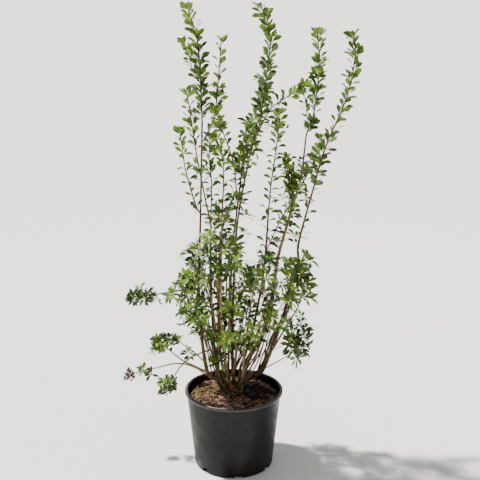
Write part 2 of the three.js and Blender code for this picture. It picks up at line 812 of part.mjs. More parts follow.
const masses = [];
Object.entries(SHOOTS).forEach(([name, spec], i) => {
  masses.push(growShoot(name, spec, limbs, seededDice(SHOOT_SEED + i)));
});
Object.entries(CLUSTERS).forEach(([name, spec], i) => {
  masses.push(growCluster(name, spec, limbs, seededDice(CLUSTER_SEED + i)));
});
masses.forEach(({ name, twigs }) => {
  solids[name] = fuse(twigs.map((twig) => limbSolid(twig, TWIG_SIDES)));
});

// A leaf that would touch anything outside its own mass is skipped
function boxesMeet(one, other) {
  return [0, 1, 2].every((axis) => one.min[axis] < other.max[axis] && other.min[axis] < one.max[axis]);
}

function leafIsClear(owner, leaf) {
  const widened = leafSolid(leaf, LEAF_ROOM);
  const box = widened.boundingBox();
  return Object.entries(solids).every(([name, solid]) => (
    name === owner || !boxesMeet(box, solid.boundingBox()) || widened.intersect(solid).isEmpty()
  ));
}

masses.forEach(({ name, leaves }) => {
  const kept = leaves.filter((leaf) => leafIsClear(name, leaf)).map((leaf) => leafSolid(leaf, 0));
  solids[name] = fuse([solids[name], ...kept]);
  plant.add(meshFromSolid(name, solids[name], LEAF_GREEN));
});

export default plant;
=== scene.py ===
# Potted redvein enkianthus: the looks of a many-stemmed shrub in a round nursery pot.
# The growth tables and rule are those of the solids, in millimetres, carried to finer twigs and
# to more and finer leaves. Meshes are in metres.

import math
from dataclasses import dataclass

import bmesh
import bpy
import numpy as np
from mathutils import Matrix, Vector, noise


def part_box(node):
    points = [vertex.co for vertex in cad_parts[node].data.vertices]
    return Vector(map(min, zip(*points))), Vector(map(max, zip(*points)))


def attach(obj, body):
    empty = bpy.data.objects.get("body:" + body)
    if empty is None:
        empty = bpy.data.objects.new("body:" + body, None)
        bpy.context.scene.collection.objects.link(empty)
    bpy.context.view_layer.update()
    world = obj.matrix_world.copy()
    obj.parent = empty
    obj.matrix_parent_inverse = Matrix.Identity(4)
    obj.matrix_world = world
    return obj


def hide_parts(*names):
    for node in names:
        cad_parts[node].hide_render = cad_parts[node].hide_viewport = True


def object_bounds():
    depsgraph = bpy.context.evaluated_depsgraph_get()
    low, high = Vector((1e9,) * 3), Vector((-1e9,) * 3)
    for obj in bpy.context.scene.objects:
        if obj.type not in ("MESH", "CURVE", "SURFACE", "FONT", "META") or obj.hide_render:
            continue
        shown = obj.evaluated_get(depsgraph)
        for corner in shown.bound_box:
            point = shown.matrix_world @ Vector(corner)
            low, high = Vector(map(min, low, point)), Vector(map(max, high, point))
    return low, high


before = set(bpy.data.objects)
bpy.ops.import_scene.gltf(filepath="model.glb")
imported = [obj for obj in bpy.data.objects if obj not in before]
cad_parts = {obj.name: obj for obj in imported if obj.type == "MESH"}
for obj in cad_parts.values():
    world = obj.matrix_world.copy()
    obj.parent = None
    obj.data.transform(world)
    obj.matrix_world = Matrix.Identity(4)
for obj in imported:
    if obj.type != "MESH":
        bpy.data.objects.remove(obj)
cad_low, cad_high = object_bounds()

MM = 0.001
UP = Vector((0, 0, 1))

# Camera, as the photograph was taken
CAMERA_DISTANCE = 2.8875
CAMERA_HEIGHT = 1.5916
CAMERA_DIP = 15.61
CAMERA_LENS = 69.72
CAMERA_SENSOR = 36
CAMERA_SHIFT = 0.0129

# Light and floor
SUN = {"aim": (0.92, -0.3, -1.75), "power": 7.8, "color": (1.0, 0.97, 0.92)}
SUN_ANGLE = 3
SOFT_LIGHTS = {
    "fill": {"place": (2.6, -2.4, 2.0), "target": (0, 0, 0.7), "size": 2.4, "power": 4,
             "color": (0.93, 0.96, 1.0)},
    "back": {"place": (0.6, 2.8, 3.0), "target": (0, 0, 0.8), "size": 2.0, "power": 10,
             "color": (1.0, 1.0, 1.0)},
}
WORLD_STRENGTH = 0.42
FLOOR_HALF = 200000
FLOOR_COLOR = (247, 247, 247)

# Pot
POT_HEIGHT = 266
RIM_RADIUS = 165
RIM_DEPTH = 11
RIM_EDGE = 3.6
BODY_TOP_RADIUS = 158
BODY_FOOT_RADIUS = 133
FOOT_ROUNDING = 7
FLAT_FOOT = 90.0
UNDER_RIM = ((-0.6, -6), (0, -1), (1.2, 0))
MOUTH_ROUNDING = (1.4, 1.6)
WALL = 3
FLOOR_THICKNESS = 18
SLOT_COUNT = 7
SLOT_WIDTH = 26
SLOT_HEIGHT = 15
SLOT_REACH = 15
FIRST_SLOT = math.radians(-84)
POT_SEGMENTS = 168
ARC_STEPS = 6
SHARP_ANGLE = 35

# Bark medium
SOIL_LEVEL = 246
SOIL_EDGE_DROP = 7
MOUND_HEIGHT = 9
MOUND_RADIUS = 80
BED_DROP = 4
BED_GAP = 0.6
BED_RINGS = 26
BED_SEGMENTS = 84
BED_ROUGHNESS = 2.6
BED_SCALE = 0.045
CHIP_COUNT = 2300
CHIP_SIZE = ((7, 21), (3.5, 9), (1.6, 4))
CHIP_UNEVEN = ((0.75, 1.05), (0.6, 1.1), (0.5, 1.1))
CHIP_TAPER = (0.35, 1.0)
CHIP_PITCH = (-0.5, 0.5)
CHIP_ROLL = (-0.6, 0.6)
CHIP_LIFT = (0, 4.5)
CHIP_ROOM = 7
CHIP_OVERHANG = 6
MOSS_CENTRE = (-96, 10)
MOSS_RADIUS = 62
MOSS_SHARE = 0.4
# Painted shadow: a patch right of the stems, where the plant's shadow falls on the medium, whose
# chips are near black
SHADOW_PATCH_CENTRE = (78, 4)
SHADOW_PATCH_RADIUS = 52
SHADOW_PATCH_STRETCH = 1.3
SHADOW_PATCH_UNEVEN = 34
SHADOW_PATCH_SCALE = 0.03
SHADOW_PATCH_SHARE = 0.85

# Limbs and twigs
LIMB_STEP = 5
TWIG_STEP = 6
CLAIM_STEPS = 6
STEM_SIDES = 14
BOUGH_SIDES = 9
TWIG_SIDES = 6
BURIED = 10
ROOT_SINK = 0.3
FLARE_HEIGHT = 14
FLARE_LEAN = 0.2
FLARE_GAIN = 0.55
FLARE_FADE = 0.6
EVEN_TAPER = 0.8
CURVE_TENSION = 0.5
TWIG_ROOT_RADIUS = 1.5
TWIG_FORK_RADIUS = 1.1
TWIG_TIP_RADIUS = 0.85
SHOOT_ROOT_RADIUS = 2.9
SHOOT_TIP_RADIUS = 1.6
STOUTNESS = 1.35
BOUGH_STOUTNESS = 1.6
THIN_BOUGH = 5
SHOOT_TAPER = 0.6
SPUR_ROOT_RADIUS = 0.75
SPUR_TIP_RADIUS = 0.5
NEAR_VERTICAL = 0.9
NODE_SPACING = (34, 62)
NODE_SWELLING = 0.13
NODE_WIDTH = 2.6
SCAR_EVEN = 0.55
SCAR_SIDE = 0.45
BARK_RELIEF = 0.07
BARK_GRAIN = 0.05
GRAIN_SCALE = 0.32
GRAIN_STRETCH = 0.16
LUMP_SCALE = 0.055
PLANT_MIDDLE = (10, 20)

# Leaves
LEAF_LENGTH = 37
SPACING_RANGE = (0.7, 1.3)
STEM_SPACING = 17
SPARSE_GAIN = 1.4
FIRST_LEAF = 9
LAST_LEAF = 5
HIGH_SHARE = 0.7
ROOT_SPACING = 0.9
LEAF_LEAN = 0.64
STEM_LEAN = 0.75
ROSETTE_LEAN = 1.12
INNER_LEAN = 0.78
RING_JITTER = 0.45
ROSETTE_LEAVES = 8
ROSETTE_SIZE = 1.22
SPUR_SHARE = 0.9
SPUR_LEAVES = 7
GOLDEN_ANGLE = 2.39996
LENGTH_RANGE = (0.78, 1.08)
LEAN_RANGE = (0.7, 1.3)
FOLD_RANGE = (0.12, 0.4)
ROLL_AT_ROOT = 0.55
ROLL_GAIN = 0.45
PETIOLE_SHARE = 0.13
PETIOLE_RADIUS = 0.5
LEAF_MIDDLE = 0.6
LOT_LEAVES = 5200

# How the leaves of each kind lie: width for their length, the range of their curl and of their
# twist about their own length
SHOOT_LEAF = {"width": 0.43, "curl": (0.1, 0.6), "twist": (0.45, 1.25)}
ROSETTE_LEAF = {"width": 0.29, "curl": (0.35, 1.15), "twist": (0.0, 0.5)}
STEM_LEAF = {"width": 0.34, "curl": (0.7, 1.5), "twist": (0.45, 1.25)}

# A leaf's outline: shares of its blade's length, and of its half width there
BLADE = (
    (0.0, 0.06), (0.12, 0.25), (0.28, 0.6), (0.45, 0.89), (0.6, 1.0),
    (0.74, 0.86), (0.87, 0.5), (0.95, 0.2), (1.0, 0.02),
)

# How the twigs of a mass share its space
HUB_REACH = 0.9
MAIN_REACH = 0.75
FORK_SETBACK = 0.6
LOWEST_FORK = 0.4
TWIG_BOW = 0.12
LEAST_TWIG = 4
HUB_TRIES = 8
TWIG_ROOM = 2
HUB_ROOM = 9
LEAF_ROOM = 0.6
FINE_AREA = 1000
LEAST_FINE = 2
FINE_DEPTH = (0.55, 1.2)
FINE_ROOM = 24
FINE_CLEAR = 4
FINE_TRIES = 6
SPUR_SPACING = 24
SPUR_STRETCH = 90
SPUR_PLACE = (0.4, 0.8)
SPUR_LENGTH = (14, 32)
SPUR_LEAN = 0.85
SPUR_LIFT = 0.35
SPUR_SIZE = 0.88
SPRIG_LENGTH = (16, 58)
SPRIG_RISE = 0.55
SPRIG_LIFT = 0.5
LIFT_OF_ROSETTE = 0.7
TURN_OF_ROSETTE = 0.45
RISER_FORK = (18, 62)
RISER_SPREAD = (6, 24)
RISER_END = (0.3, 1)
RISER_LOW_BEND = 0.35
RISER_HIGH_BEND = 0.7
RISER_ROOT_RADIUS = 2.8
RISER_TIP_RADIUS = 1.5
RISER_ROOM = 1
RISERS = 6
LEAFY_RISERS = 1
RISER_FREE = 30
REACH_SLACK = 15
EDGE_MARGIN = 6

# Where the dice of each kind of growth start: each row of a table has the next seed
MASS_SEED = 501
MASS_DETAIL_SEED = 9502
SHOOT_SEED = 9102
CHIP_SEED = 9001
BARK_SEED = 9051
RISER_SEED = 7001
SPRIG_SEED = 8001
STEM_LEAF_SEED = 6001

# Colours are given as 8-bit sRGB. The leaf tints are told apart by their place in this list.
LEAF_COLORS = {
    "leaf_yellow": (156, 164, 76),
    "leaf_bright": (121, 149, 50),
    "leaf_fresh": (98, 128, 43),
    "leaf_green": (83, 106, 43),
    "leaf_middle": (65, 88, 39),
    "leaf_dark": (46, 66, 32),
    "leaf_bronze": (92, 66, 50),
}
YELLOW, BRIGHT, FRESH, GREEN, MIDDLE, DARK, BRONZE = range(len(LEAF_COLORS))
TIP_TINTS = (BRIGHT, FRESH, FRESH, GREEN)
SHOOT_TINTS = (FRESH, GREEN, GREEN, MIDDLE)
STEM_TINTS = (GREEN, GREEN, MIDDLE, DARK)
# Each rosette takes one of these, so its leaves are alike
ROSETTE_MOODS = (
    (BRIGHT, BRIGHT, FRESH), (BRIGHT, FRESH, GREEN), (BRIGHT, GREEN, MIDDLE),
    (FRESH, MIDDLE, DARK), (GREEN, MIDDLE, DARK), (MIDDLE, DARK, DARK),
)
ALL_MOODS = (0, len(ROSETTE_MOODS))

CHIP_COLORS = {
    "chip_tan": (162, 116, 92),
    "chip_brown": (116, 78, 61),
    "chip_dark": (46, 34, 29),
    "chip_grey": (122, 100, 93),
    "chip_moss": (110, 98, 42),
    # near-black chips that paint the plant's shadow on the medium
    "chip_damp": (24, 20, 17),
}
CHIP_MOSS = 4
CHIP_PAINTED_SHADOW = 5
BED_COLOR = (52, 38, 30)

# Bark in furrows, between and on ridges, and the height in metres up to which moss grows on it
BARKS = {
    "stem_bark": ((46, 38, 27), (82, 70, 47), (128, 110, 74), 0.42),
    "pale_bark": ((84, 69, 47), (139, 117, 80), (184, 161, 113), 0.42),
    "bough_bark": ((70, 59, 40), (111, 95, 65), (155, 136, 94), 0.36),
    "young_bark": ((60, 45, 30), (92, 70, 46), (129, 103, 69), 0.01),
}
PALE_STEMS = (
    "stem_left_inner", "stem_right_middle", "stem_front", "stem_slender", "stem_short_rear",
)
MOSS_COLORS = ((66, 70, 30), (112, 114, 58))


@dataclass
class Ring:
    """Leaves crowded round one place: their number, lean from its direction, size and looks."""

    count: int
    lean: float
    size: float
    kind: dict
    tints: tuple


WHORL = Ring(6, 0.95, 1, SHOOT_LEAF, SHOOT_TINTS)
TIP = Ring(5, 0.62, 1, SHOOT_LEAF, TIP_TINTS)
CROWN = Ring(3, 0.25, 0.74, SHOOT_LEAF, (BRIGHT, BRIGHT, FRESH))
BUNCH = Ring(5, 0.95, SPUR_SIZE, SHOOT_LEAF, (BRIGHT, BRIGHT, FRESH, GREEN))
HEART = Ring(3, 0.55, 0.62, ROSETTE_LEAF, (YELLOW, BRIGHT, FRESH))


# The growth tables
@dataclass
class Stem:
    """A stem from its foot in the medium through its bends."""

    foot: tuple
    girth: float
    tip_girth: float
    bends: list
    taper: float = EVEN_TAPER


@dataclass
class Bough:
    """A limb from a stem's side at a height."""

    carrier: str
    height: float
    girth: float
    tip_girth: float
    bends: list


@dataclass
class Shoot:
    """A leafy shoot on a stem's tip, or on its side at a height. It is sparse up to a share of its
    length, has whorls at shares of it, each with spurs, and is bare from one share to another. Its
    leaves go on down the stem for a length. A side twig has its share, spacing and bends."""

    carrier: str
    spacing: float
    bends: list
    height: float = None
    size: float = 1
    sparse: float = 0
    whorls: tuple = ()
    spurs: int = 0
    down: float = 0
    down_spacing: float = STEM_SPACING
    bare: tuple = ()
    side: tuple = ()


@dataclass
class Mass:
    """A mass of rosettes round a middle, within a reach, on a limb's tip or on its side at a
    height. Fullness gives more or fewer finer twigs, moods go from one to before another, and
    close rosettes have a leaf size and a number of leaves of their own."""

    carrier: str
    middle: tuple
    reach: tuple
    height: float = None
    rosettes: int = 3
    fullness: float = 1
    moods: tuple = ALL_MOODS
    close: tuple = ()
    risers: int = RISERS


@dataclass
class Growth:
    """What has grown on a shoot, in a mass or along a limb."""

    name: str
    twigs: list
    leaves: list


STEMS = {
    "stem_left": Stem((-26, 2), 16, 4.4, [
        (-58, -1, 298), (-92, -2, 340), (-115, 10, 575), (-108, 25, 845), (-100, 40, 1160),
    ], taper=2.2),
    "stem_left_inner": Stem((-22, 48), 10, 4.4, [
        (-38, 32, 320), (-50, 10, 470), (-55, -30, 720), (-72, -50, 848),
    ]),
    "stem_left_rear": Stem((-34, 72), 9, 4.2, [
        (-55, 68, 315), (-71, 80, 445), (-77, 90, 655), (-76, 95, 837),
    ]),
    "stem_front": Stem((-8, 30), 10, 4.4, [
        (-24, 5, 340), (-39, -40, 490), (-41, -75, 690), (-37, -95, 880),
    ]),
    "stem_crossing": Stem((-12, 66), 10, 4, [
        (-27, 62, 320), (-47, 55, 490), (-48, 20, 705), (-35, 0, 828), (8, -30, 956),
    ]),
    "stem_centre": Stem((4, 52), 13, 4.4, [
        (-4, 48, 330), (-4, 35, 500), (2, 10, 680), (13, 0, 855), (53, 0, 1070), (78, 0, 1150),
    ], taper=2),
    "stem_centre_rear": Stem((2, 88), 10, 4.4, [
        (-1, 86, 305), (-10, 110, 470), (-6, 125, 700), (24, 130, 962),
    ], taper=1.6),
    "stem_short_rear": Stem((-16, 104), 8, 4, [(-32, 112, 340), (-30, 130, 462), (-23, 160, 633)]),
    "stem_short_left": Stem((-43, 40), 8, 4, [(-66, 20, 356), (-86, -30, 452), (-100, -60, 540)]),
    "stem_right_inner": Stem((18, 34), 10, 4.2, [
        (22, 22, 330), (41, 0, 397), (72, -40, 543), (96, -75, 717), (108, -100, 918),
    ]),
    "stem_slender": Stem((27, 8), 7, 3, [
        (30, -12, 330), (38, -35, 452), (58, -62, 601), (78, -45, 690), (121, -20, 795),
    ]),
    "stem_right_middle": Stem((26, 66), 18, 5, [
        (40, 70, 322), (59, 76, 358), (100, 94, 425), (134, 118, 563), (146, 130, 670),
        (174, 135, 782), (223, 120, 964),
    ]),
    "stem_right": Stem((40, 100), 19, 4.8, [
        (62, 98, 264), (85, 94, 278), (108, 88, 316), (166, 60, 499), (188, 45, 621),
        (211, 35, 700), (212, 30, 770), (254, 20, 949),
    ], taper=1.6),
}

BOUGHS = {
    "bough_left_level": Bough("stem_left", 611, 4.6, 2.8, [(-144, -10, 620), (-205, -34, 620)]),
    "bough_left_low_front": Bough("stem_left", 334, 4.6, 2.8, [
        (-131, -40, 364), (-165, -60, 390), (-195, -70, 419),
    ]),
    "bough_left_low_rear": Bough("stem_left", 318, 4.4, 2.6, [
        (-128, 22, 330), (-166, 35, 338), (-205, 45, 335), (-258, 50, 320),
    ]),
    "bough_left_low_upper": Bough("stem_left", 360, 3.6, 2.4, [
        (-121, 40, 366), (-146, 70, 376), (-173, 90, 387),
    ]),
    "bough_left_arching": Bough("stem_short_left", 410, 3.6, 2.4, [
        (-114, -52, 412), (-143, -76, 406), (-170, -100, 391), (-190, -118, 366),
    ]),
    "bough_right_outer": Bough("stem_right", 384, 7.6, 4.6, [(164, 20, 460), (206, -32, 560)]),
}

SHOOTS = {
    "shoot_left_top": Shoot(
        "stem_left", 4.6, [(-104, 50, 1291), (-114, 45, 1423), (-130, 40, 1474), (-141, 38, 1504)],
        size=1.08, whorls=(0.08, 0.28, 0.42, 0.56), spurs=1,
        side=(0.33, 5, [(-131, 28, 1333), (-139, 18, 1379), (-151, 14, 1404)]),
    ),
    "shoot_left_twin": Shoot(
        "stem_left", 11, [(-62, 8, 1181), (-47, -20, 1298), (-39, -25, 1410)],
        height=1100, sparse=0.1, whorls=(0.36, 0.5), spurs=2,
    ),
    "shoot_left_outer": Shoot(
        "stem_left", 8, [(-127, 0, 918), (-152, -12, 1019), (-167, -18, 1132)],
        height=870, sparse=0.65,
    ),
    "shoot_left_leaning": Shoot(
        "stem_left_inner", 8.4, [(-87, -60, 925), (-113, -80, 1074), (-138, -95, 1255)],
        sparse=0.6, down=120, whorls=(0.42, 0.8), spurs=1,
    ),
    "shoot_left_rear": Shoot(
        "stem_left_rear", 7, [(-73, 110, 946), (-80, 115, 1021), (-79, 118, 1092)],
        sparse=0.5, down=120, whorls=(0.6, 0.85), spurs=1,
    ),
    "shoot_front": Shoot(
        "stem_front", 7.5, [(-31, -110, 1018), (-37, -115, 1090), (-50, -118, 1128)],
        sparse=0.6, down=140, whorls=(0.06, 0.8), spurs=1,
    ),
    "shoot_crossing": Shoot(
        "stem_crossing", 9, [(0, -35, 1037), (-24, -45, 1117), (-52, -55, 1196)],
        sparse=0.6, down=190, down_spacing=11, whorls=(0.33, 0.8), spurs=2,
    ),
    "shoot_centre_top": Shoot(
        "stem_centre", 3.9,
        [(88, 0, 1213), (93, 0, 1259), (112, 10, 1398), (107, 10, 1443), (86, 10, 1508)],
        size=1.1, sparse=0.1, down=120, whorls=(0.12, 0.5, 0.8, 0.93),
    ),
    "shoot_centre_rear": Shoot(
        "stem_centre_rear", 6, [(43, 130, 1055), (81, 120, 1213), (97, 118, 1255)],
        sparse=0.1, down=150, whorls=(0.1, 0.4, 0.82, 0.94), spurs=2,
    ),
    "shoot_centre_left": Shoot(
        "stem_centre", 8, [(22, -40, 1010), (30, -52, 1065), (46, -60, 1150)],
        height=985, whorls=(0.25, 0.62), spurs=2,
    ),
    "shoot_slanting": Shoot(
        "stem_centre", 3.6, [(107, 34, 1190), (134, 52, 1216), (222, 76, 1268)],
        height=1122, sparse=0.72,
    ),
    "shoot_right_inner": Shoot(
        "stem_right_inner", 6, [(114, -105, 992), (129, -115, 1111), (137, -120, 1205)],
        sparse=0.7, down=170, down_spacing=8, whorls=(0.85,), spurs=2,
    ),
    "shoot_right_middle_top": Shoot(
        "stem_right_middle", 4.6,
        [(231, 115, 1058), (237, 110, 1114), (256, 105, 1170), (271, 95, 1330), (262, 92, 1424)],
        size=1.04, sparse=0.25, down=230, down_spacing=6.5, whorls=(0.355, 0.62, 0.72, 0.82),
        spurs=1, bare=((0.16, 0.31), (0.42, 0.46)),
        side=(0.36, 10, [(233, 78, 1177), (224, 66, 1239), (214, 62, 1258)]),
    ),
    "shoot_right_middle_front": Shoot(
        "stem_right_middle", 3.8, [(189, 84, 965), (174, 62, 1020)],
        height=880, whorls=(0.35, 0.6, 0.8), spurs=4,
    ),
    "shoot_right_middle_rear": Shoot(
        "stem_right_middle", 8, [(250, 156, 978), (274, 170, 1028), (285, 178, 1082)],
        height=925, sparse=0.2, whorls=(0.35, 0.6), spurs=2,
    ),
    "shoot_right_top": Shoot(
        "stem_right", 5.8, [(289, 20, 1081), (350, 5, 1243), (371, 0, 1372), (362, 0, 1420)],
        size=1.08, sparse=0.3, down=160, whorls=(0.03, 0.1, 0.18, 0.27, 0.75, 0.9),
    ),
    "shoot_slender": Shoot(
        "stem_slender", 7, [(156, -10, 867), (174, -5, 893)],
        sparse=0.3, down=110, down_spacing=9,
    ),
}

MASSES = {
    "foliage_left_level": Mass(
        "bough_left_level", (-284, -50, 612), (56, 20, 12),
        rosettes=4, fullness=2.4, moods=(3, 6), close=(0.98, 12),
    ),
    "foliage_left_low_front": Mass(
        "bough_left_low_front", (-234, -76, 458), (30, 24, 26), fullness=2, close=(0.92, 12),
    ),
    "foliage_left_low_rear": Mass(
        "bough_left_low_rear", (-330, 58, 298), (46, 12, 14),
        rosettes=2, fullness=0.9, moods=(2, 5), close=(0.92, 10),
    ),
    "foliage_left_low_upper": Mass(
        "bough_left_low_upper", (-196, 106, 398), (16, 14, 12), rosettes=2, close=(0.76, 10),
    ),
    "foliage_left_arching": Mass(
        "bough_left_arching", (-216, -138, 338), (16, 16, 20),
        rosettes=2, fullness=4.5, moods=(2, 6), close=(0.92, 12),
    ),
    "foliage_left_high": Mass(
        "stem_left", (-130, 6, 736), (24, 36, 28), height=690, fullness=0.7, moods=(2, 6),
    ),
    "foliage_left_mid": Mass(
        "stem_left", (-144, -22, 652), (26, 40, 34), height=590, fullness=1.4,
    ),
    "foliage_left_front": Mass(
        "stem_left_inner", (-76, -88, 722), (26, 24, 70), height=620, fullness=0.45, moods=(2, 6),
    ),
    "foliage_left_short": Mass(
        "stem_short_left", (-130, -84, 562), (34, 36, 36), fullness=1.4, moods=(1, 5),
    ),
    "foliage_left_rear": Mass("stem_left_rear", (-104, 120, 606), (32, 36, 84), height=520),
    "foliage_front_high": Mass(
        "stem_front", (-14, -116, 748), (26, 28, 60), height=660, fullness=0.34, moods=(1, 5),
    ),
    "foliage_front_low": Mass(
        "stem_front", (-4, -90, 536), (40, 40, 84), height=440, fullness=0.5, moods=(0, 3),
    ),
    "foliage_rear_short": Mass(
        "stem_short_rear", (-14, 178, 700), (40, 36, 60), fullness=0.3,
    ),
    "foliage_centre_rear": Mass(
        "stem_centre_rear", (40, 158, 580), (36, 34, 84), height=480, fullness=1.3, moods=(0, 4),
    ),
    "foliage_right_inner": Mass(
        "stem_right_inner", (104, -112, 700), (38, 28, 84), height=600, fullness=0.5,
    ),
    "foliage_right_middle": Mass(
        "stem_right_middle", (118, 84, 614), (38, 40, 84), height=500, fullness=0.3, moods=(0, 5),
    ),
    "foliage_right_front": Mass(
        "stem_slender", (92, -84, 540), (44, 32, 50), height=480, fullness=0.55, moods=(0, 3),
    ),
    "foliage_right_high": Mass(
        "stem_right", (208, -10, 692), (40, 40, 38), height=610, rosettes=4, fullness=0.75,
    ),
    "foliage_right_rear": Mass(
        "stem_right", (188, 112, 560), (34, 38, 56), height=500, fullness=0.6,
    ),
    "foliage_right_outer": Mass(
        "bough_right_outer", (226, -54, 632), (20, 18, 38), rosettes=2, moods=(0, 4),
    ),
    "foliage_right_low": Mass(
        "stem_right_middle", (206, -66, 472), (28, 24, 60),
        height=340, fullness=1.8, moods=(3, 6), risers=1,
    ),
}
CLOSE_WIDTH = 1.16

# Spans with short leafy side twigs, given as from, to and spacing: heights on a stem, and lengths
# along a bough, whose sprigs have rosettes of a size and number of leaves of their own
SPRIGS = {
    "stem_left": [(430, 565, 28), (640, 760, 90)],
    "stem_left_inner": [(340, 560, 40), (740, 845, 40)],
    "stem_left_rear": [(340, 500, 44), (700, 800, 60)],
    "stem_front": [(340, 480, 30), (760, 875, 50)],
    "stem_crossing": [(350, 600, 44), (760, 940, 60)],
    "stem_short_left": [(430, 530, 30)],
    "stem_centre": [(350, 540, 40), (540, 650, 24), (760, 960, 70), (1070, 1140, 30)],
    "stem_centre_rear": [(350, 470, 44), (700, 950, 70)],
    "stem_right_inner": [(380, 560, 36)],
    "stem_right_middle": [(640, 780, 90), (790, 955, 30)],
    "stem_right": [(550, 780, 46)],
    "stem_slender": [(360, 600, 40)],
    "bough_left_level": [(26, 100, 16)],
    "bough_left_low_front": [(100, 106, 22)],
    "bough_right_outer": [(110, 190, 30)],
}
BOUGH_ROSETTES = (0.95, 12)

# The mass whose rosettes are brown and shrunk where they are farther left than this
WITHERED = "foliage_left_low_rear"
WITHERED_FROM = -336
WITHERED_SIZE = 0.85

WORD = 0xFFFFFFFF
DICE_STEP = 0x6D2B79F5


# Dice and growth
def seeded_dice(seed):
    """Dice that throw from 0 to under 1, always the same throws for the same seed."""
    state = seed & WORD

    def throw():
        nonlocal state
        state = (state + DICE_STEP) & WORD
        mixed = ((state ^ (state >> 15)) * (state | 1)) & WORD
        mixed ^= (mixed + (mixed ^ (mixed >> 7)) * (mixed | 61)) & WORD
        return (mixed ^ (mixed >> 14)) / 2**32

    return throw


def with_dice(table, seed):
    """Each name and row of a table, with dice of its own."""
    return [(name, row, seeded_dice(seed + i)) for i, (name, row) in enumerate(table.items())]


def within(limits, dice):
    least, most = limits
    return least + (most - least) * dice()


def any_turn(dice):
    return dice() * math.tau


class Limb:
    """A limb or twig: its run, the length to each point of it, and its radius there."""

    def __init__(self, waypoints, root_radius, tip_radius, step, thinning=EVEN_TAPER):
        self.points = trace_run([Vector(p) for p in waypoints], step)
        self.lengths = [0.0]
        for low, high in zip(self.points, self.points[1:]):
            self.lengths.append(self.lengths[-1] + (high - low).length)
        self.whole = self.lengths[-1]
        taper = root_radius - tip_radius
        self.radii = [
            tip_radius + taper * (1 - length / self.whole) ** thinning
            for length in self.lengths
        ]

    def tangent(self, i):
        ahead = self.points[min(i + 1, len(self.points) - 1)]
        behind = self.points[max(i - 1, 0)]
        return (ahead - behind).normalized()

    def between(self, i, share):
        """A place on the run before its point i, the run's direction there, and its radius."""
        low, high = self.points[i - 1], self.points[i]
        return low.lerp(high, share), (high - low).normalized(), self.radii[i]

    def at_length(self, length):
        i = 1
        while i + 1 < len(self.points) and self.lengths[i] < length:
            i += 1
        low, high = self.lengths[i - 1], self.lengths[i]
        return self.between(i, (length - low) / (high - low))

    def at_height(self, height):
        for i in range(1, len(self.points)):
            low, high = self.points[i - 1].z, self.points[i].z
            if (low - height) * (high - height) <= 0:
                return self.between(i, (height - low) / (high - low))
        raise ValueError(f"no point of the limb is at {height}")

    def at_tip(self):
        return self.points[-1].copy(), self.tangent(len(self.points) - 1), self.radii[-1]

    def nearest_length(self, target):
        gaps = [(point - target).length for point in self.points]
        return self.lengths[gaps.index(min(gaps))]

    def flare(self, fade):
        """Thickens the limb toward its root."""
        for i, length in enumerate(self.lengths):
            self.radii[i] *= 1 + FLARE_GAIN * math.exp(-length / fade)


def trace_run(waypoints, step):
    """A smooth run through the waypoints, stepped evenly between them."""
    before = waypoints[0] * 2 - waypoints[1]
    after = waypoints[-1] * 2 - waypoints[-2]
    ends = [before, *waypoints, after]
    points = [waypoints[0].copy()]
    for i in range(1, len(waypoints)):
        p0, p1, p2, p3 = ends[i - 1:i + 3]
        leave = (p2 - p0) * CURVE_TENSION
        reach = (p3 - p1) * CURVE_TENSION
        count = max(1, round((p2 - p1).length / step))
        for k in range(1, count + 1):
            t = k / count
            cubic = (p1 * 2 - p2 * 2 + leave + reach) * t**3
            square = (p2 * 3 - p1 * 3 - leave * 2 - reach) * t**2
            points.append(cubic + square + leave * t + p1)
    return points


def sideways(direction, spin):
    across = UP if abs(direction.z) < NEAR_VERTICAL else Vector((1, 0, 0))
    first = across.cross(direction).normalized()
    second = direction.cross(first)
    return first * math.cos(spin) + second * math.sin(spin)


def grow_from_side(carrier, height, targets, girth, tip_radius, step):
    """A limb whose root is sunk in its carrier's side at a height."""
    point, along, radius = carrier.at_height(height)
    out = Vector(targets[0]) - point
    out = (out - along * out.dot(along)).normalized()
    root = point + out * (radius * ROOT_SINK)
    knuckle = point + out * (radius + girth) + along * (girth / 2)
    return Limb([root, knuckle, *targets], girth / 2, tip_radius, step)


def grow_main_twig(spec, carrier, targets, root_radius, tip_radius):
    if spec.height is None:
        point, along, radius = carrier.at_tip()
        return Limb([point, *targets], radius, tip_radius, TWIG_STEP, SHOOT_TAPER)
    return grow_from_side(carrier, spec.height, targets, 2 * root_radius, tip_radius, TWIG_STEP)


class Space:
    """Every limb and twig grown so far, which later twigs and leaves keep clear of."""

    def __init__(self):
        self.stretches = []

    def claim(self, owner, limb, every=1):
        last = len(limb.points) - 1
        picked = [*range(0, last, every), last]
        for i, j in zip(picked, picked[1:]):
            stretch = (owner, tuple(limb.points[i]), tuple(limb.points[j]), limb.radii[i])
            self.stretches.append(stretch)

    def clearance(self, owner, points):
        """The gap from each point to the nearest limb that isn't its owner's."""
        others = [stretch[1:] for stretch in self.stretches if stretch[0] != owner]
        lows, highs, radii = (np.array(column) for column in zip(*others))
        axes = highs - lows
        points = np.array([tuple(p) for p in points])
        offsets = points[:, None, :] - lows[None]
        shares = (offsets * axes[None]).sum(2) / (axes**2).sum(1)[None]
        nearest = lows[None] + np.clip(shares, 0, 1)[..., None] * axes[None]
        gaps = np.linalg.norm(points[:, None, :] - nearest, axis=2) - radii[None]
        return gaps.min(1)


space = Space()
whole_reach = (
    [cad_low[k] / MM + EDGE_MARGIN for k in range(3)],
    [cad_high[k] / MM - EDGE_MARGIN for k in range(3)],
)


def reach_of(node):
    """How low and how high the growth of a node may go, along each axis."""
    low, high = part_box(node)
    return (
        [max(low[k] / MM - REACH_SLACK, whole_reach[0][k]) for k in range(3)],
        [min(high[k] / MM + REACH_SLACK, whole_reach[1][k]) for k in range(3)],
    )


reaches = {node: reach_of(node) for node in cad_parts}


def in_reach(name, point):
    low, high = reaches.get(name, whole_reach)
    return all(low[k] < point[k] < high[k] for k in range(3))


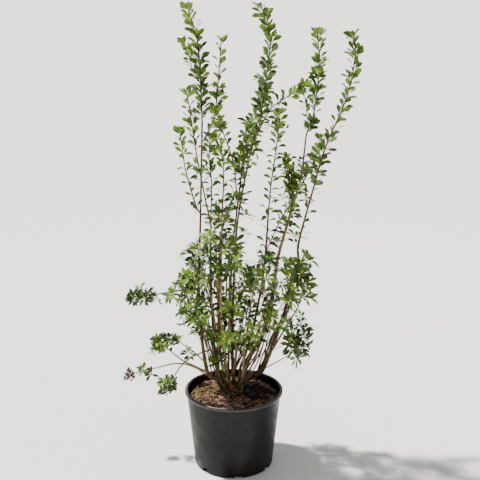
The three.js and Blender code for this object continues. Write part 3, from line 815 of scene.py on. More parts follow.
def leaf_place(root, along, spin, lean, length, kind, tints, dice):
    return {
        "root": root, "along": along, "outward": sideways(along, spin), "lean": lean,
        "length": length, "width": length * kind["width"], "tint": tints[int(dice() * len(tints))],
        "curl": within(kind["curl"], dice), "fold": within(FOLD_RANGE, dice),
        "twist": within(kind["twist"], dice) * (1 if dice() < 0.5 else -1),
    }


def lean_and_length(lean, size, dice):
    return lean * within(LEAN_RANGE, dice), LEAF_LENGTH * size * within(LENGTH_RANGE, dice)


def ring_of_leaves(place, ring, size, dice):
    """The leaves of a ring, their roots stepped back a little one behind another."""
    point, along = place[:2]
    leaves = []
    start = any_turn(dice)
    for k in range(ring.count):
        spin = start + math.tau * (k + RING_JITTER * dice()) / ring.count
        tilt = ring.lean if k % 2 == 0 else ring.lean * INNER_LEAN
        lean, length = lean_and_length(tilt, ring.size * size, dice)
        root = point - along * (ROOT_SPACING * k)
        leaves.append(leaf_place(root, along, spin, lean, length, ring.kind, ring.tints, dice))
    return leaves


def leaves_of_shoot(twig, spacing, sparse, whorls, size, dice, bare=()):
    """Leaves one by one round a shoot but for its bare stretches, narrow and sparse up to a share
    of it, crowded at its whorls and in a bright bunch at its tip."""
    leaves = []
    spin = any_turn(dice)
    length = FIRST_LEAF
    while length < twig.whole - LAST_LEAF:
        point, along, _ = twig.at_length(length)
        lean, long = lean_and_length(LEAF_LEAN, size, dice)
        if length < sparse * twig.whole:
            kind, tints, gap = STEM_LEAF, STEM_TINTS, SPARSE_GAIN * spacing
        elif length < HIGH_SHARE * twig.whole:
            kind, tints, gap = SHOOT_LEAF, SHOOT_TINTS, spacing
        else:
            kind, tints, gap = SHOOT_LEAF, TIP_TINTS, spacing
        if not any(low < length / twig.whole < high for low, high in bare):
            leaves.append(leaf_place(point, along, spin, lean, long, kind, tints, dice))
        spin += GOLDEN_ANGLE
        length += gap * within(SPACING_RANGE, dice)
    for share in whorls:
        leaves += ring_of_leaves(twig.at_length(share * twig.whole), WHORL, size, dice)
    for ring in (TIP, CROWN):
        leaves += ring_of_leaves(twig.at_tip(), ring, size, dice)
    return leaves


def leaves_down_stem(stem, reach, spacing, dice):
    """Narrow arching leaves, one by one, on the stretch of a stem below its shoot."""
    leaves = []
    spin = any_turn(dice)
    length = stem.whole - reach
    while length < stem.whole:
        point, along, radius = stem.at_length(length)
        root = point + sideways(along, spin) * radius
        lean, long = lean_and_length(STEM_LEAN, 1, dice)
        leaves.append(leaf_place(root, along, spin, lean, long, STEM_LEAF, STEM_TINTS, dice))
        spin += GOLDEN_ANGLE
        length += spacing * within(SPACING_RANGE, dice)
    return leaves


def rosette_on(twig, size, count, moods, dice):
    """A star of leaves at a twig's tip, with a few young ones standing up in its middle. It faces
    up and away from the middle of the plant."""
    point, along, _ = twig.at_tip()
    away = Vector((point.x - PLANT_MIDDLE[0], point.y - PLANT_MIDDLE[1], 0)).normalized()
    facing = along + UP * LIFT_OF_ROSETTE + away * TURN_OF_ROSETTE
    place = (point, facing.normalized())
    tints = ROSETTE_MOODS[int(within(moods, dice))]
    star = Ring(count, ROSETTE_LEAN, 1, ROSETTE_LEAF, tints)
    return ring_of_leaves(place, star, size, dice) + ring_of_leaves(place, HEART, size, dice)


def lifted_twig(point, heading, lift, reach):
    """A short thin twig whose outer half turns up."""
    bend = point + heading * (reach / 2)
    end = bend + (heading + UP * lift).normalized() * (reach / 2)
    return Limb([point, bend, end], SPUR_ROOT_RADIUS, SPUR_TIP_RADIUS, TWIG_STEP)


def is_clear(name, twig, room=TWIG_ROOM):
    return space.clearance(name, twig.points[1:]).min() > room


def grow_spur(name, twig, length, dice):
    """A short side twig at a length along a twig, or none where it would touch a limb."""
    point, along, _ = twig.at_length(length)
    outward = sideways(along, any_turn(dice))
    heading = along * math.cos(SPUR_LEAN) + outward * math.sin(SPUR_LEAN)
    spur = lifted_twig(point, heading, SPUR_LIFT, within(SPUR_LENGTH, dice))
    return [spur] if is_clear(name, spur) and in_reach(name, spur.points[-1]) else []


def grow_sprigs(name, carrier, spans, dice):
    """Short leafy side twigs all round a limb, over its spans."""
    place_on = carrier.at_height if name in STEMS else carrier.at_length
    sprigs = []
    spin = any_turn(dice)
    for low, high, spacing in spans:
        reached = low
        while reached < high:
            point, along, _ = place_on(reached)
            heading = (sideways(along, spin) + along * SPRIG_RISE).normalized()
            sprig = lifted_twig(point, heading, SPRIG_LIFT, within(SPRIG_LENGTH, dice))
            gaps = [(other.points[-1] - sprig.points[-1]).length for other in sprigs]
            if all(gap > FINE_ROOM for gap in gaps) and is_clear(name, sprig):
                sprigs.append(sprig)
            reached += spacing * within(SPACING_RANGE, dice)
            spin += GOLDEN_ANGLE
    return sprigs


def grow_shoot(name, spec, carrier, dice):
    main = grow_main_twig(spec, carrier, spec.bends, SHOOT_ROOT_RADIUS, SHOOT_TIP_RADIUS)
    twigs = [main]
    leaves = leaves_of_shoot(
        main, spec.spacing, spec.sparse, spec.whorls, spec.size, dice, spec.bare
    )
    if spec.side:
        share, spacing, bends = spec.side
        fork = main.at_length(share * main.whole)[0]
        twigs.append(Limb([fork, *bends], TWIG_ROOT_RADIUS, TWIG_TIP_RADIUS, TWIG_STEP))
        leaves += leaves_of_shoot(twigs[-1], spacing, 0, (), SPUR_SIZE, dice)
    spurs = []
    for share in spec.whorls:
        for _ in range(spec.spurs):
            length = share * main.whole + within((-SPUR_SPACING, SPUR_SPACING), dice)
            spurs += grow_spur(name, main, max(length, FIRST_LEAF), dice)
    for spur in spurs:
        leaves += ring_of_leaves(spur.at_tip(), BUNCH, 1, dice)
    return Growth(name, twigs + spurs, leaves)


def hub_place(spec, i, count, turn, depth):
    """One of several places spread evenly over a mass, at a share of its reach."""
    level = 1 - (2 * i + 1) / count
    width = math.sqrt(1 - level * level)
    spin = i * GOLDEN_ANGLE + turn
    place = Vector((width * math.cos(spin), width * math.sin(spin), level)) * depth
    return place * Vector(spec.reach) + Vector(spec.middle)


def twig_to_hub(main, hub, root_radius, tip_radius):
    start = main.nearest_length(hub)
    distance = (main.at_length(start)[0] - hub).length
    length = max(start - FORK_SETBACK * distance, start * LOWEST_FORK)
    fork, along, _ = main.at_length(length)
    bend = fork.lerp(hub, 0.5) + along * (TWIG_BOW * distance)
    return Limb([fork, bend, hub], root_radius, tip_radius, TWIG_STEP)


def fine_twig(name, spec, twigs, i, count, dice):
    """One of the finer twigs between a mass's first ones, to a hub of its own, or none."""
    for _ in range(FINE_TRIES):
        hub = hub_place(spec, i, count, any_turn(dice), within(FINE_DEPTH, dice))
        apart = min((twig.points[-1] - hub).length for twig in twigs)
        crowded = apart < FINE_ROOM or space.clearance(name, [hub])[0] < FINE_CLEAR
        if crowded or not in_reach(name, hub):
            continue
        nearest = min(twigs, key=lambda twig: min((p - hub).length for p in twig.points))
        twig = twig_to_hub(nearest, hub, SPUR_ROOT_RADIUS, SPUR_TIP_RADIUS)
        if is_clear(name, twig, 0) and twig.whole > LEAST_TWIG:
            return [twig]
    return []


def grow_first_twigs(name, spec, carrier, dice):
    """A twig into the middle of a mass's space, and one from it to each further rosette."""
    seat = carrier.at_tip()[0] if spec.height is None else carrier.at_height(spec.height)[0]
    middle = Vector(spec.middle)
    end = (middle - seat).normalized() * Vector(spec.reach) * MAIN_REACH + middle
    main = grow_main_twig(spec, carrier, [middle, end], TWIG_ROOT_RADIUS, TWIG_TIP_RADIUS)
    twigs = [main]
    space.claim(name, main)
    phase = any_turn(dice)
    for i in range(1, spec.rosettes):
        for attempt in range(HUB_TRIES):
            hub = hub_place(spec, i, spec.rosettes, phase + attempt, HUB_REACH)
            twig = twig_to_hub(main, hub, TWIG_FORK_RADIUS, TWIG_TIP_RADIUS)
            clear = space.clearance(name, [hub])[0] > HUB_ROOM and is_clear(name, twig)
            if clear and twig.whole > LEAST_TWIG:
                twigs.append(twig)
                space.claim(name, twig)
                break
    return twigs


def grow_mass(name, spec, carrier, dice, fine_dice):
    """The first twigs of a mass, the finer ones between them with spurs, and a rosette on each."""
    first_twigs = grow_first_twigs(name, spec, carrier, dice)
    twigs = list(first_twigs)
    wide, deep, tall = spec.reach
    area = wide * deep + deep * tall + tall * wide
    count = max(LEAST_FINE, round(area / FINE_AREA * spec.fullness))
    for i in range(count):
        twigs += fine_twig(name, spec, twigs, i, count, fine_dice)
    spurs = []
    for twig in first_twigs:
        stretch = min(twig.whole, SPUR_STRETCH)
        for k in range(int(stretch / SPUR_SPACING * min(1, spec.fullness))):
            length = twig.whole - (k + within(SPUR_PLACE, fine_dice)) * SPUR_SPACING
            spurs += grow_spur(name, twig, length, fine_dice)
    leaves = []
    size, leaf_count = spec.close or (ROSETTE_SIZE, ROSETTE_LEAVES)
    for twig in twigs:
        leaves += rosette_on(twig, size, leaf_count, spec.moods, fine_dice)
    for spur in spurs:
        leaves += rosette_on(spur, SPUR_SHARE * size, SPUR_LEAVES, spec.moods, fine_dice)
    for leaf in leaves:
        if spec.close:
            leaf["width"] *= CLOSE_WIDTH
        if name == WITHERED and leaf["root"].x < WITHERED_FROM:
            leaf["tint"] = BRONZE
            leaf["length"] *= WITHERED_SIZE
            leaf["width"] *= WITHERED_SIZE
    return Growth(name, twigs + spurs, leaves)


def grow_riser(name, spec, carrier, dice):
    """A thin twig that rises from beside a stem's foot to the underside of a mass, or none."""
    fork = carrier.at_height(SOIL_LEVEL + within(RISER_FORK, dice))[0]
    aside = sideways(UP, any_turn(dice)) * within(RISER_SPREAD, dice)
    middle, reach = Vector(spec.middle), Vector(spec.reach)
    hub = middle + aside - UP * (within(RISER_END, dice) * reach.z)
    low_bend = fork.lerp(hub, RISER_LOW_BEND) + aside
    high_bend = fork.lerp(hub, RISER_HIGH_BEND) + aside * RISER_HIGH_BEND
    riser = Limb([fork, low_bend, high_bend, hub], RISER_ROOT_RADIUS, RISER_TIP_RADIUS, TWIG_STEP)
    free = [point for point in riser.points if (point - fork).length > RISER_FREE]
    return [riser] if space.clearance(name, free).min() > RISER_ROOM else []


def grow_stem(spec):
    root = Vector((*spec.foot, SOIL_LEVEL))
    flare_top = root.lerp(Vector(spec.bends[0]), FLARE_LEAN)
    flare_top.z = root.z + FLARE_HEIGHT
    bends = [root, flare_top, *spec.bends]
    stem = Limb(bends, spec.girth / 2, STOUTNESS * spec.tip_girth / 2, LIMB_STEP, spec.taper)
    stem.flare(FLARE_FADE * FLARE_HEIGHT)
    below = root - (flare_top - root).normalized() * BURIED
    stem.points.insert(0, below)
    stem.radii.insert(0, stem.radii[0])
    stem.lengths = [0.0, *(length + BURIED for length in stem.lengths)]
    stem.whole += BURIED
    return stem


def grow_bough(spec, carrier):
    gain = BOUGH_STOUTNESS if spec.girth < THIN_BOUGH else 1
    girth, tip_girth = gain * spec.girth, gain * spec.tip_girth
    bough = grow_from_side(carrier, spec.height, spec.bends, girth, tip_girth / 2, LIMB_STEP)
    bough.flare(spec.girth)
    return bough


def grow_limbs():
    limbs = {name: grow_stem(spec) for name, spec in STEMS.items()}
    for name, spec in BOUGHS.items():
        limbs[name] = grow_bough(spec, limbs[spec.carrier])
    for name, limb in limbs.items():
        space.claim(name, limb, every=CLAIM_STEPS)
    return limbs


def grow_shoots(limbs):
    shoots = []
    for name, spec, dice in with_dice(SHOOTS, SHOOT_SEED):
        shoots.append(grow_shoot(name, spec, limbs[spec.carrier], dice))
        for twig in shoots[-1].twigs:
            space.claim(name, twig)
    return shoots


def add_risers(mass, spec, carrier, dice):
    for k in range(spec.risers):
        for riser in grow_riser(mass.name, spec, carrier, dice):
            mass.twigs.append(riser)
            space.claim(mass.name, riser)
            if k < LEAFY_RISERS:
                mass.leaves += rosette_on(riser, ROSETTE_SIZE, SPUR_LEAVES, spec.moods, dice)


def grow_masses(limbs):
    masses = {}
    for i, (name, spec, dice) in enumerate(with_dice(MASSES, MASS_SEED)):
        fine_dice = seeded_dice(MASS_DETAIL_SEED + i)
        masses[name] = grow_mass(name, spec, limbs[spec.carrier], dice, fine_dice)
    for name, spec, dice in with_dice(MASSES, RISER_SEED):
        if spec.carrier in STEMS and spec.height is not None:
            add_risers(masses[name], spec, limbs[spec.carrier], dice)
    return list(masses.values())


def grow_stem_leaves(limbs):
    """The leaves of the shoots that have some on the stem below them."""
    growths = []
    for _, spec, dice in with_dice(SHOOTS, STEM_LEAF_SEED):
        if spec.down:
            leaves = leaves_down_stem(limbs[spec.carrier], spec.down, spec.down_spacing, dice)
            growths.append(Growth(f"shoot_leaves_on_{spec.carrier}", [], leaves))
    return growths


def grow_leafy_sprigs(limbs):
    growths = []
    for name, spans, dice in with_dice(SPRIGS, SPRIG_SEED):
        growth = Growth(f"foliage_on_{name}", grow_sprigs(name, limbs[name], spans, dice), [])
        size, leaf_count = (ROSETTE_SIZE, ROSETTE_LEAVES) if name in STEMS else BOUGH_ROSETTES
        for sprig in growth.twigs:
            growth.leaves += rosette_on(sprig, size, leaf_count, ALL_MOODS, dice)
            space.claim(growth.name, sprig)
        growths.append(growth)
    return growths


def leaf_arrays(leaves):
    """The leaves' places and measures by name, as arrays with a row or a number for each leaf."""
    rows = {
        key: np.array([tuple(leaf[key]) for leaf in leaves]) for key in ("root", "along", "outward")
    }
    for key in ("lean", "length", "width", "curl", "fold", "twist"):
        rows[key] = np.array([leaf[key] for leaf in leaves])
    return rows


def midribs(look, share):
    """Where the leaves' midribs are at a share of their length. Each is an arc."""
    turn = look["lean"] + look["curl"] * share
    reach = (np.sin(turn) - np.sin(look["lean"])) / look["curl"]
    spread = (np.cos(look["lean"]) - np.cos(turn)) / look["curl"]
    ahead = (look["length"] * reach)[:, None] * look["along"]
    return look["root"] + ahead + (look["length"] * spread)[:, None] * look["outward"]


def drop_touching_leaves(growth):
    """Leaves only those leaves that stay in their own reach and clear of other limbs."""
    look = leaf_arrays(growth.leaves)
    middles, tips = midribs(look, LEAF_MIDDLE), midribs(look, 1)
    gaps = space.clearance(growth.name, tips)
    growth.leaves = [
        leaf for leaf, middle, tip, gap in zip(growth.leaves, middles, tips, gaps)
        if gap > LEAF_ROOM and in_reach(growth.name, middle) and in_reach(growth.name, tip)
    ]


# Meshes
def add_object(name, data):
    added = bpy.data.objects.new(name, data)
    bpy.context.scene.collection.objects.link(added)
    return added


def mesh_piece(name, corners, faces, materials, slots=None, smooth=True):
    """An object from arrays, in millimetres, with the number of each face's material if there are
    several."""
    mesh = bpy.data.meshes.new(name)
    mesh.from_pydata((np.asarray(corners, float) * MM).tolist(), [], faces)
    for material in materials:
        mesh.materials.append(material)
    mesh.polygons.foreach_set("material_index", slots or [0] * len(faces))
    mesh.polygons.foreach_set("use_smooth", [smooth] * len(faces))
    mesh.update()
    return add_object(name, mesh)


def place_in_frame(piece, slot, *nodes):
    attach(piece, "root")
    if nodes:
        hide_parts(*nodes)


def tube(limb, sides, swell=None):
    """The corners and faces of a tube along a limb, its radius swollen by swell."""
    corners = []
    across = None
    for i, centre in enumerate(limb.points):
        along = limb.tangent(i)
        across = sideways(along, 0) if across is None else across - along * across.dot(along)
        across.normalize()
        over = along.cross(across)
        for j in range(sides):
            turn = math.tau * j / sides
            outward = across * math.cos(turn) + over * math.sin(turn)
            radius = limb.radii[i]
            if swell:
                radius *= swell(limb.lengths[i], turn, centre + outward * radius)
            corners.append(tuple(centre + outward * radius))
    faces = []
    for base in range(0, len(corners) - sides, sides):
        for j in range(sides):
            here, following = base + j, base + (j + 1) % sides
            faces.append((here, following, following + sides, here + sides))
    last = len(corners) - sides
    tip, along, radius = limb.at_tip()
    corners.append(tuple(tip + along * radius))
    faces += [(last + j, last + (j + 1) % sides, len(corners) - 1) for j in range(sides)]
    return corners, faces


def bark_swell(limb, dice):
    """Lumps, fine grain along the limb, and swollen nodes with an old leaf's scar on one side."""
    nodes = []
    length = within(NODE_SPACING, dice)
    while length < limb.whole:
        nodes.append((length, any_turn(dice)))
        length += within(NODE_SPACING, dice)
    places, turns = np.array(nodes).T

    def swell(length, turn, corner):
        lump = noise.noise(corner * LUMP_SCALE)
        grain_place = Vector((corner.x, corner.y, corner.z * GRAIN_STRETCH)) * GRAIN_SCALE
        grain = noise.noise(grain_place)
        near = np.exp(-(((length - places) / NODE_WIDTH) ** 2))
        scar = (near * (SCAR_EVEN + SCAR_SIDE * np.cos(turn - turns))).sum()
        return 1 + BARK_RELIEF * lump + BARK_GRAIN * grain + NODE_SWELLING * scar

    return swell


def joined(parts):
    """Several lists of corners and faces as one, with the slot number of each part's faces."""
    corners, faces, slots = [], [], []
    for part_corners, part_faces, slot in parts:
        base = len(corners)
        corners += part_corners
        faces += [tuple(base + corner for corner in face) for face in part_faces]
        slots += [slot] * len(part_faces)
    return corners, faces, slots


def leaf_mesh(leaves):
    """Every leaf's blade and stalk: folded along the midrib, and curling outward to its tip."""
    look = leaf_arrays(leaves)
    along, outward = look["along"], look["outward"]
    across = np.cross(along, outward)
    stations = [(0.0, np.full(len(leaves), PETIOLE_RADIUS))]
    for share, part in BLADE:
        stations.append((PETIOLE_SHARE + (1 - PETIOLE_SHARE) * share, look["width"] / 2 * part))
    rows = []
    for station, half in stations:
        centre = midribs(look, station)
        turn = look["lean"] + look["curl"] * station
        facing = np.sin(turn)[:, None] * along - np.cos(turn)[:, None] * outward
        roll = look["twist"] * (ROLL_AT_ROOT + ROLL_GAIN * station)
        side = np.cos(roll)[:, None] * across + np.sin(roll)[:, None] * facing
        rise = -np.sin(roll)[:, None] * across + np.cos(roll)[:, None] * facing
        lift = (half * look["fold"])[:, None] * rise
        reached = half[:, None] * side
        rows += [centre + reached + lift, centre, centre - reached + lift]
    corners = np.stack(rows, axis=1).reshape(-1, 3)
    one_leaf = []
    for low in range(0, len(rows) - 3, 3):
        one_leaf.append((low, low + 1, low + 4, low + 3))
        one_leaf.append((low + 1, low + 2, low + 5, low + 4))
    faces = [
        tuple(base + corner for corner in face)
        for base in range(0, len(corners), len(rows))
        for face in one_leaf
    ]
    slots = [leaf["tint"] for leaf in leaves for _ in one_leaf]
    return corners, faces, slots


def lots_of(growths):
    """The growths in turn, in lots whose leaves stay within what one piece may hold."""
    lots = [[]]
    for growth in growths:
        held = sum(len(member.leaves) for member in lots[-1])
        if held + len(growth.leaves) > LOT_LEAVES:
            lots.append([])
        lots[-1].append(growth)
    return lots


def circle(radius, count):
    turns = [math.tau * j / count for j in range(count)]
    return [(radius * math.cos(turn), radius * math.sin(turn)) for turn in turns]


def closed_form(first, rings, end):
    """The corners and faces of a form that is closed over its rings by a corner at either end."""
    corners = [first, *(corner for ring in rings for corner in ring), end]
    count = len(rings[0])
    top = len(corners) - 1 - count
    faces = []
    for j in range(count):
        k = (j + 1) % count
        faces.append((0, 1 + k, 1 + j))
        for low in range(1, top, count):
            faces.append((low + j, low + k, low + count + k, low + count + j))
        faces.append((top + j, top + k, len(corners) - 1))
    return corners, faces


# Materials
def linear(red, green, blue):
    """A colour given as 8-bit sRGB, in the renderer's linear light."""
    shades = [value / 255 for value in (red, green, blue)]
    return tuple(
        shade / 12.92 if shade <= 0.04045 else ((shade + 0.055) / 1.055) ** 2.4
        for shade in shades
    ) + (1.0,)


def shade(color, gain):
    return tuple(min(1.0, channel * gain) for channel in color[:3]) + (1.0,)


class Finish:
    """A material whose nodes are added one by one, in the object's own coordinates."""

    def __init__(self, name, gloss=0.5):
        self.material = bpy.data.materials.new(name)
        self.material.use_nodes = True
        self.tree = self.material.node_tree
        self.shader = self.tree.nodes["Principled BSDF"]
        self.place = self.add("TexCoord", {}).outputs["Object"]
        self.put(self.shader, "Specular IOR Level", gloss)

    def put(self, node, key, value):
        """Links another node's output to an input, or sets the input to a plain value."""
        if isinstance(value, bpy.types.NodeSocket):
            self.tree.links.new(value, node.inputs[key])
        else:
            node.inputs[key].default_value = value

    def add(self, kind, inputs, **settings):
        node = self.tree.nodes.new(f"ShaderNode{kind}")
        for key, value in settings.items():
            setattr(node, key, value)
        for key, value in inputs.items():
            self.put(node, key, value)
        return node

    def noise(self, scale, detail, stretch=(1, 1, 1)):
        place = self.add("Mapping", {"Vector": self.place, "Scale": stretch}).outputs["Vector"]
        inputs = {"Vector": place, "Scale": scale, "Detail": detail}
        return self.add("TexNoise", inputs).outputs["Fac"]

    def ramp(self, value, *stops):
        ramp = self.add("ValToRGB", {"Fac": value})
        elements = ramp.color_ramp.elements
        while len(elements) < len(stops):
            elements.new(0.5)
        for element, (position, color) in zip(elements, stops):
            element.position = position
            element.color = color
        return ramp.outputs["Color"]

    def mix(self, share, first, second):
        inputs = {"Factor": share, "A": first, "B": second}
        return self.add("Mix", inputs, data_type="RGBA").outputs["Result"]

    def height(self):
        return self.add("SeparateXYZ", {"Vector": self.place}).outputs["Z"]

    def upward(self):
        """How far the surface faces up, from -1 to 1."""
        normal = self.add("NewGeometry", {}).outputs["Normal"]
        return self.add("SeparateXYZ", {"Vector": normal}).outputs["Z"]

    def span(self, value, low, high, to_low=0.0, to_high=1.0):
        inputs = {
            "Value": value, "From Min": low, "From Max": high, "To Min": to_low, "To Max": to_high,
        }
        return self.add("MapRange", inputs).outputs["Result"]

    def times(self, first, second):
        return self.add("Math", {0: first, 1: second}, operation="MULTIPLY").outputs["Value"]

    def done(self, color, roughness, bump=None, strength=0.0, distance=0.0):
        """The material, given its colour, its roughness and its relief."""
        self.put(self.shader, "Base Color", color)
        self.put(self.shader, "Roughness", roughness)
        if bump:
            inputs = {"Strength": strength, "Distance": distance, "Height": bump}
            self.put(self.shader, "Normal", self.add("Bump", inputs).outputs["Normal"])
        return self.material


def leaf_finish(name, color):
    """A leaf's own colour, faintly mottled, with a soft sheen and fine relief."""
    finish = Finish(name, gloss=0.35)
    mottle = finish.noise(scale=90, detail=3)
    tone = finish.ramp(mottle, (0.32, shade(color, 0.82)), (0.7, shade(color, 1.2)))
    relief = finish.noise(scale=420, detail=2)
    return finish.done(tone, roughness=0.42, bump=relief, strength=0.25, distance=0.0006)


def bark_finish(name, dark, middle, light, moss_top):
    """Grey-brown bark in streaks along the limb, mossy in patches below a height."""
    finish = Finish(name, gloss=0.25)
    streaks = finish.noise(scale=170, detail=6, stretch=(1, 1, 0.22))
    furrow, side, ridge = (linear(*color) for color in (dark, middle, light))
    bark = finish.ramp(streaks, (0.3, furrow), (0.5, side), (0.72, ridge))
    moss_dark, moss_light = (linear(*color) for color in MOSS_COLORS)
    tufts = finish.noise(scale=60, detail=3)
    moss = finish.ramp(tufts, (0.42, moss_dark), (0.62, moss_light))
    patches = finish.span(finish.noise(scale=34, detail=3), low=0.46, high=0.6)
    near_foot = finish.span(finish.height(), low=moss_top, high=0.5 * moss_top, to_high=0.7)
    tone = finish.mix(finish.times(patches, near_foot), bark, moss)
    roughness = finish.span(streaks, low=0.3, high=0.75, to_low=0.88, to_high=0.62)
    relief = finish.noise(scale=520, detail=5, stretch=(1, 1, 0.3))
    return finish.done(tone, roughness, relief, strength=0.5, distance=0.0007)


def chip_finish(name, color):
    """Rough broken bark, darker in its pores."""
    finish = Finish(name)
    pores = finish.noise(scale=330, detail=5)
    tone = finish.ramp(pores, (0.3, shade(color, 0.55)), (0.68, shade(color, 1.25)))
    relief = finish.noise(scale=600, detail=4)
    return finish.done(tone, roughness=0.9, bump=relief, strength=0.6, distance=0.0008)


def plastic_finish():
    """Dull black plastic, greyed by handling, with dried splashes of medium on it."""
    finish = Finish("pot_black_plastic", gloss=0.17)
    cloud = finish.noise(scale=9, detail=5)
    plastic = finish.ramp(cloud, (0.3, linear(14, 13, 12)), (0.7, linear(21, 20, 18)))
    specks = finish.noise(scale=40, detail=6)
    dust = finish.ramp(specks, (0.4, linear(40, 37, 33)), (0.7, linear(66, 59, 52)))
    streaks = finish.noise(scale=14, detail=6, stretch=(1, 1, 0.35))
    smear = finish.span(streaks, low=0.54, high=0.82, to_high=0.3)
    tone = finish.mix(smear, plastic, dust)
    wear = finish.noise(scale=26, detail=5)
    roughness = finish.span(wear, low=0.3, high=0.7, to_low=0.36, to_high=0.56)
    relief = finish.noise(scale=700, detail=2)
    return finish.done(tone, roughness, relief, strength=0.12, distance=0.0004)


def rim_finish():
    """The same plastic rubbed smoother on the rim, with pale dried medium on its upper side that is
    partly real and partly a painted highlight along the rim's top.
    """
    finish = Finish("pot_rim_plastic")
    cloud = finish.noise(scale=30, detail=5)
    plastic = finish.ramp(cloud, (0.3, linear(17, 16, 15)), (0.7, linear(28, 26, 25)))
    specks = finish.noise(scale=60, detail=4)
    # Pale colour on the upward faces: partly real dried medium, partly a painted highlight on the
    # rim's top
    dust = finish.ramp(specks, (0.35, linear(84, 72, 66)), (0.7, linear(168, 146, 136)))
    upward_dust_and_highlight = finish.span(finish.upward(), low=0.7, high=0.98)
    splashes = finish.noise(scale=22, detail=4)
    patches = finish.span(splashes, low=0.4, high=0.64, to_low=0.1, to_high=0.75)
    tone = finish.mix(finish.times(upward_dust_and_highlight, patches), plastic, dust)
    wear = finish.noise(scale=40, detail=5)
    roughness = finish.span(wear, low=0.3, high=0.7, to_low=0.28, to_high=0.44)
    return finish.done(tone, roughness)


# The pot
def inner_radius(height):
    share = (height - FOOT_ROUNDING) / (POT_HEIGHT - FOOT_ROUNDING)
    return BODY_FOOT_RADIUS - WALL + (BODY_TOP_RADIUS - BODY_FOOT_RADIUS) * share


def arc(centre, radius, start, end):
    """Points of a rounding, in degrees from straight out, turning from start to end."""
    turns = np.radians(np.linspace(start, end, ARC_STEPS + 1))
    return [(centre[0] + radius * math.cos(t), centre[1] + radius * math.sin(t)) for t in turns]


def pot_profile():
    """Radius and height of each ring, from the underside up the outside and down the inside."""
    rim_foot = POT_HEIGHT - RIM_DEPTH
    foot_centre = (BODY_FOOT_RADIUS - FOOT_ROUNDING, FOOT_ROUNDING)
    edge_centre = RIM_RADIUS - RIM_EDGE
    inside_top = inner_radius(POT_HEIGHT)
    return [
        (FLAT_FOOT, 0.0),
        *arc(foot_centre, FOOT_ROUNDING, -90, 0),
        (0.5 * (BODY_FOOT_RADIUS + BODY_TOP_RADIUS), 0.5 * (FOOT_ROUNDING + rim_foot)),
        *((BODY_TOP_RADIUS + out, rim_foot + up) for out, up in UNDER_RIM),
        *arc((edge_centre, rim_foot + RIM_EDGE), RIM_EDGE, -90, 0),
        *arc((edge_centre, POT_HEIGHT - RIM_EDGE), RIM_EDGE, 0, 90),
        (inside_top + MOUTH_ROUNDING[0], POT_HEIGHT),
        (inside_top, POT_HEIGHT - MOUTH_ROUNDING[1]),
        (inner_radius(0.5 * POT_HEIGHT), 0.5 * POT_HEIGHT),
        (inner_radius(FLOOR_THICKNESS), FLOOR_THICKNESS),
    ]


def slot_cutter(turn):
    """A block across the foot of the pot's wall, turned about the pot's axis."""
    mesh = bpy.data.meshes.new("slot_cutter")
    form = bmesh.new()
    bmesh.ops.create_cube(form, size=1)
    for corner in form.verts:
        x = BODY_FOOT_RADIUS + 2 * SLOT_REACH * corner.co.x
        y = SLOT_WIDTH * corner.co.y
        z = 2 * SLOT_HEIGHT * corner.co.z
        ahead = x * math.cos(turn) - y * math.sin(turn)
        aside = x * math.sin(turn) + y * math.cos(turn)
        corner.co = Vector((ahead, aside, z)) * MM
    form.to_mesh(mesh)
    form.free()
    return add_object("slot_cutter", mesh)


def cut_slot(pot, turn):
    cutter = slot_cutter(turn)
    cut = pot.modifiers.new("slot", "BOOLEAN")
    cut.operation = "DIFFERENCE"
    cut.solver = "EXACT"
    cut.object = cutter
    bpy.context.view_layer.update()
    graph = bpy.context.evaluated_depsgraph_get()
    made = bpy.data.meshes.new_from_object(pot.evaluated_get(graph))
    pot.modifiers.clear()
    pot.data = made
    bpy.data.objects.remove(cutter)


def make_pot():
    rings = [
        [(x, y, height) for x, y in circle(radius, POT_SEGMENTS)]
        for radius, height in pot_profile()
    ]
    corners, faces = closed_form((0.0, 0.0, 0.0), rings, (0.0, 0.0, FLOOR_THICKNESS))
    finishes = [plastic_finish(), rim_finish()]
    pot = mesh_piece("pot_shell", corners, faces, finishes)
    for i in range(SLOT_COUNT):
        cut_slot(pot, FIRST_SLOT + math.tau * i / SLOT_COUNT)
    for face in pot.data.polygons:
        face.material_index = 1 if face.center.z > (POT_HEIGHT - RIM_DEPTH) * MM else 0
        face.use_smooth = True
    pot.data.set_sharp_from_angle(angle=math.radians(SHARP_ANGLE))
    place_in_frame(pot, "pot_plastic", "pot")


# The bark medium
def soil_height(x, y):
    distance = math.hypot(x, y)
    mound = MOUND_HEIGHT * math.exp(-((distance / MOUND_RADIUS) ** 2))
    edge = SOIL_EDGE_DROP * (distance / inner_radius(SOIL_LEVEL)) ** 4
    rough = BED_ROUGHNESS * noise.noise(Vector((x, y, 0)) * BED_SCALE)
    return SOIL_LEVEL + mound - edge + rough - BED_DROP


def make_bed():
    """The dark body of the medium, filling the pot under the chips."""
    rim = inner_radius(SOIL_LEVEL) - BED_GAP
    low = FLOOR_THICKNESS + BED_GAP
    rings = [
        [(x, y, soil_height(x, y)) for x, y in circle(rim * i / BED_RINGS, BED_SEGMENTS)]
        for i in range(1, BED_RINGS + 1)
    ]
    rings.append([(x, y, low) for x, y in circle(inner_radius(low) - BED_GAP, BED_SEGMENTS)])
    corners, faces = closed_form((0.0, 0.0, soil_height(0, 0)), rings, (0.0, 0.0, low))
    turned_over = [face[:1] + face[:0:-1] for face in faces]
    finish = chip_finish("medium_dark", linear(*BED_COLOR))
    bed = mesh_piece("medium_bed", corners, turned_over, [finish])
    place_in_frame(bed, "bark_medium", "potting_medium")


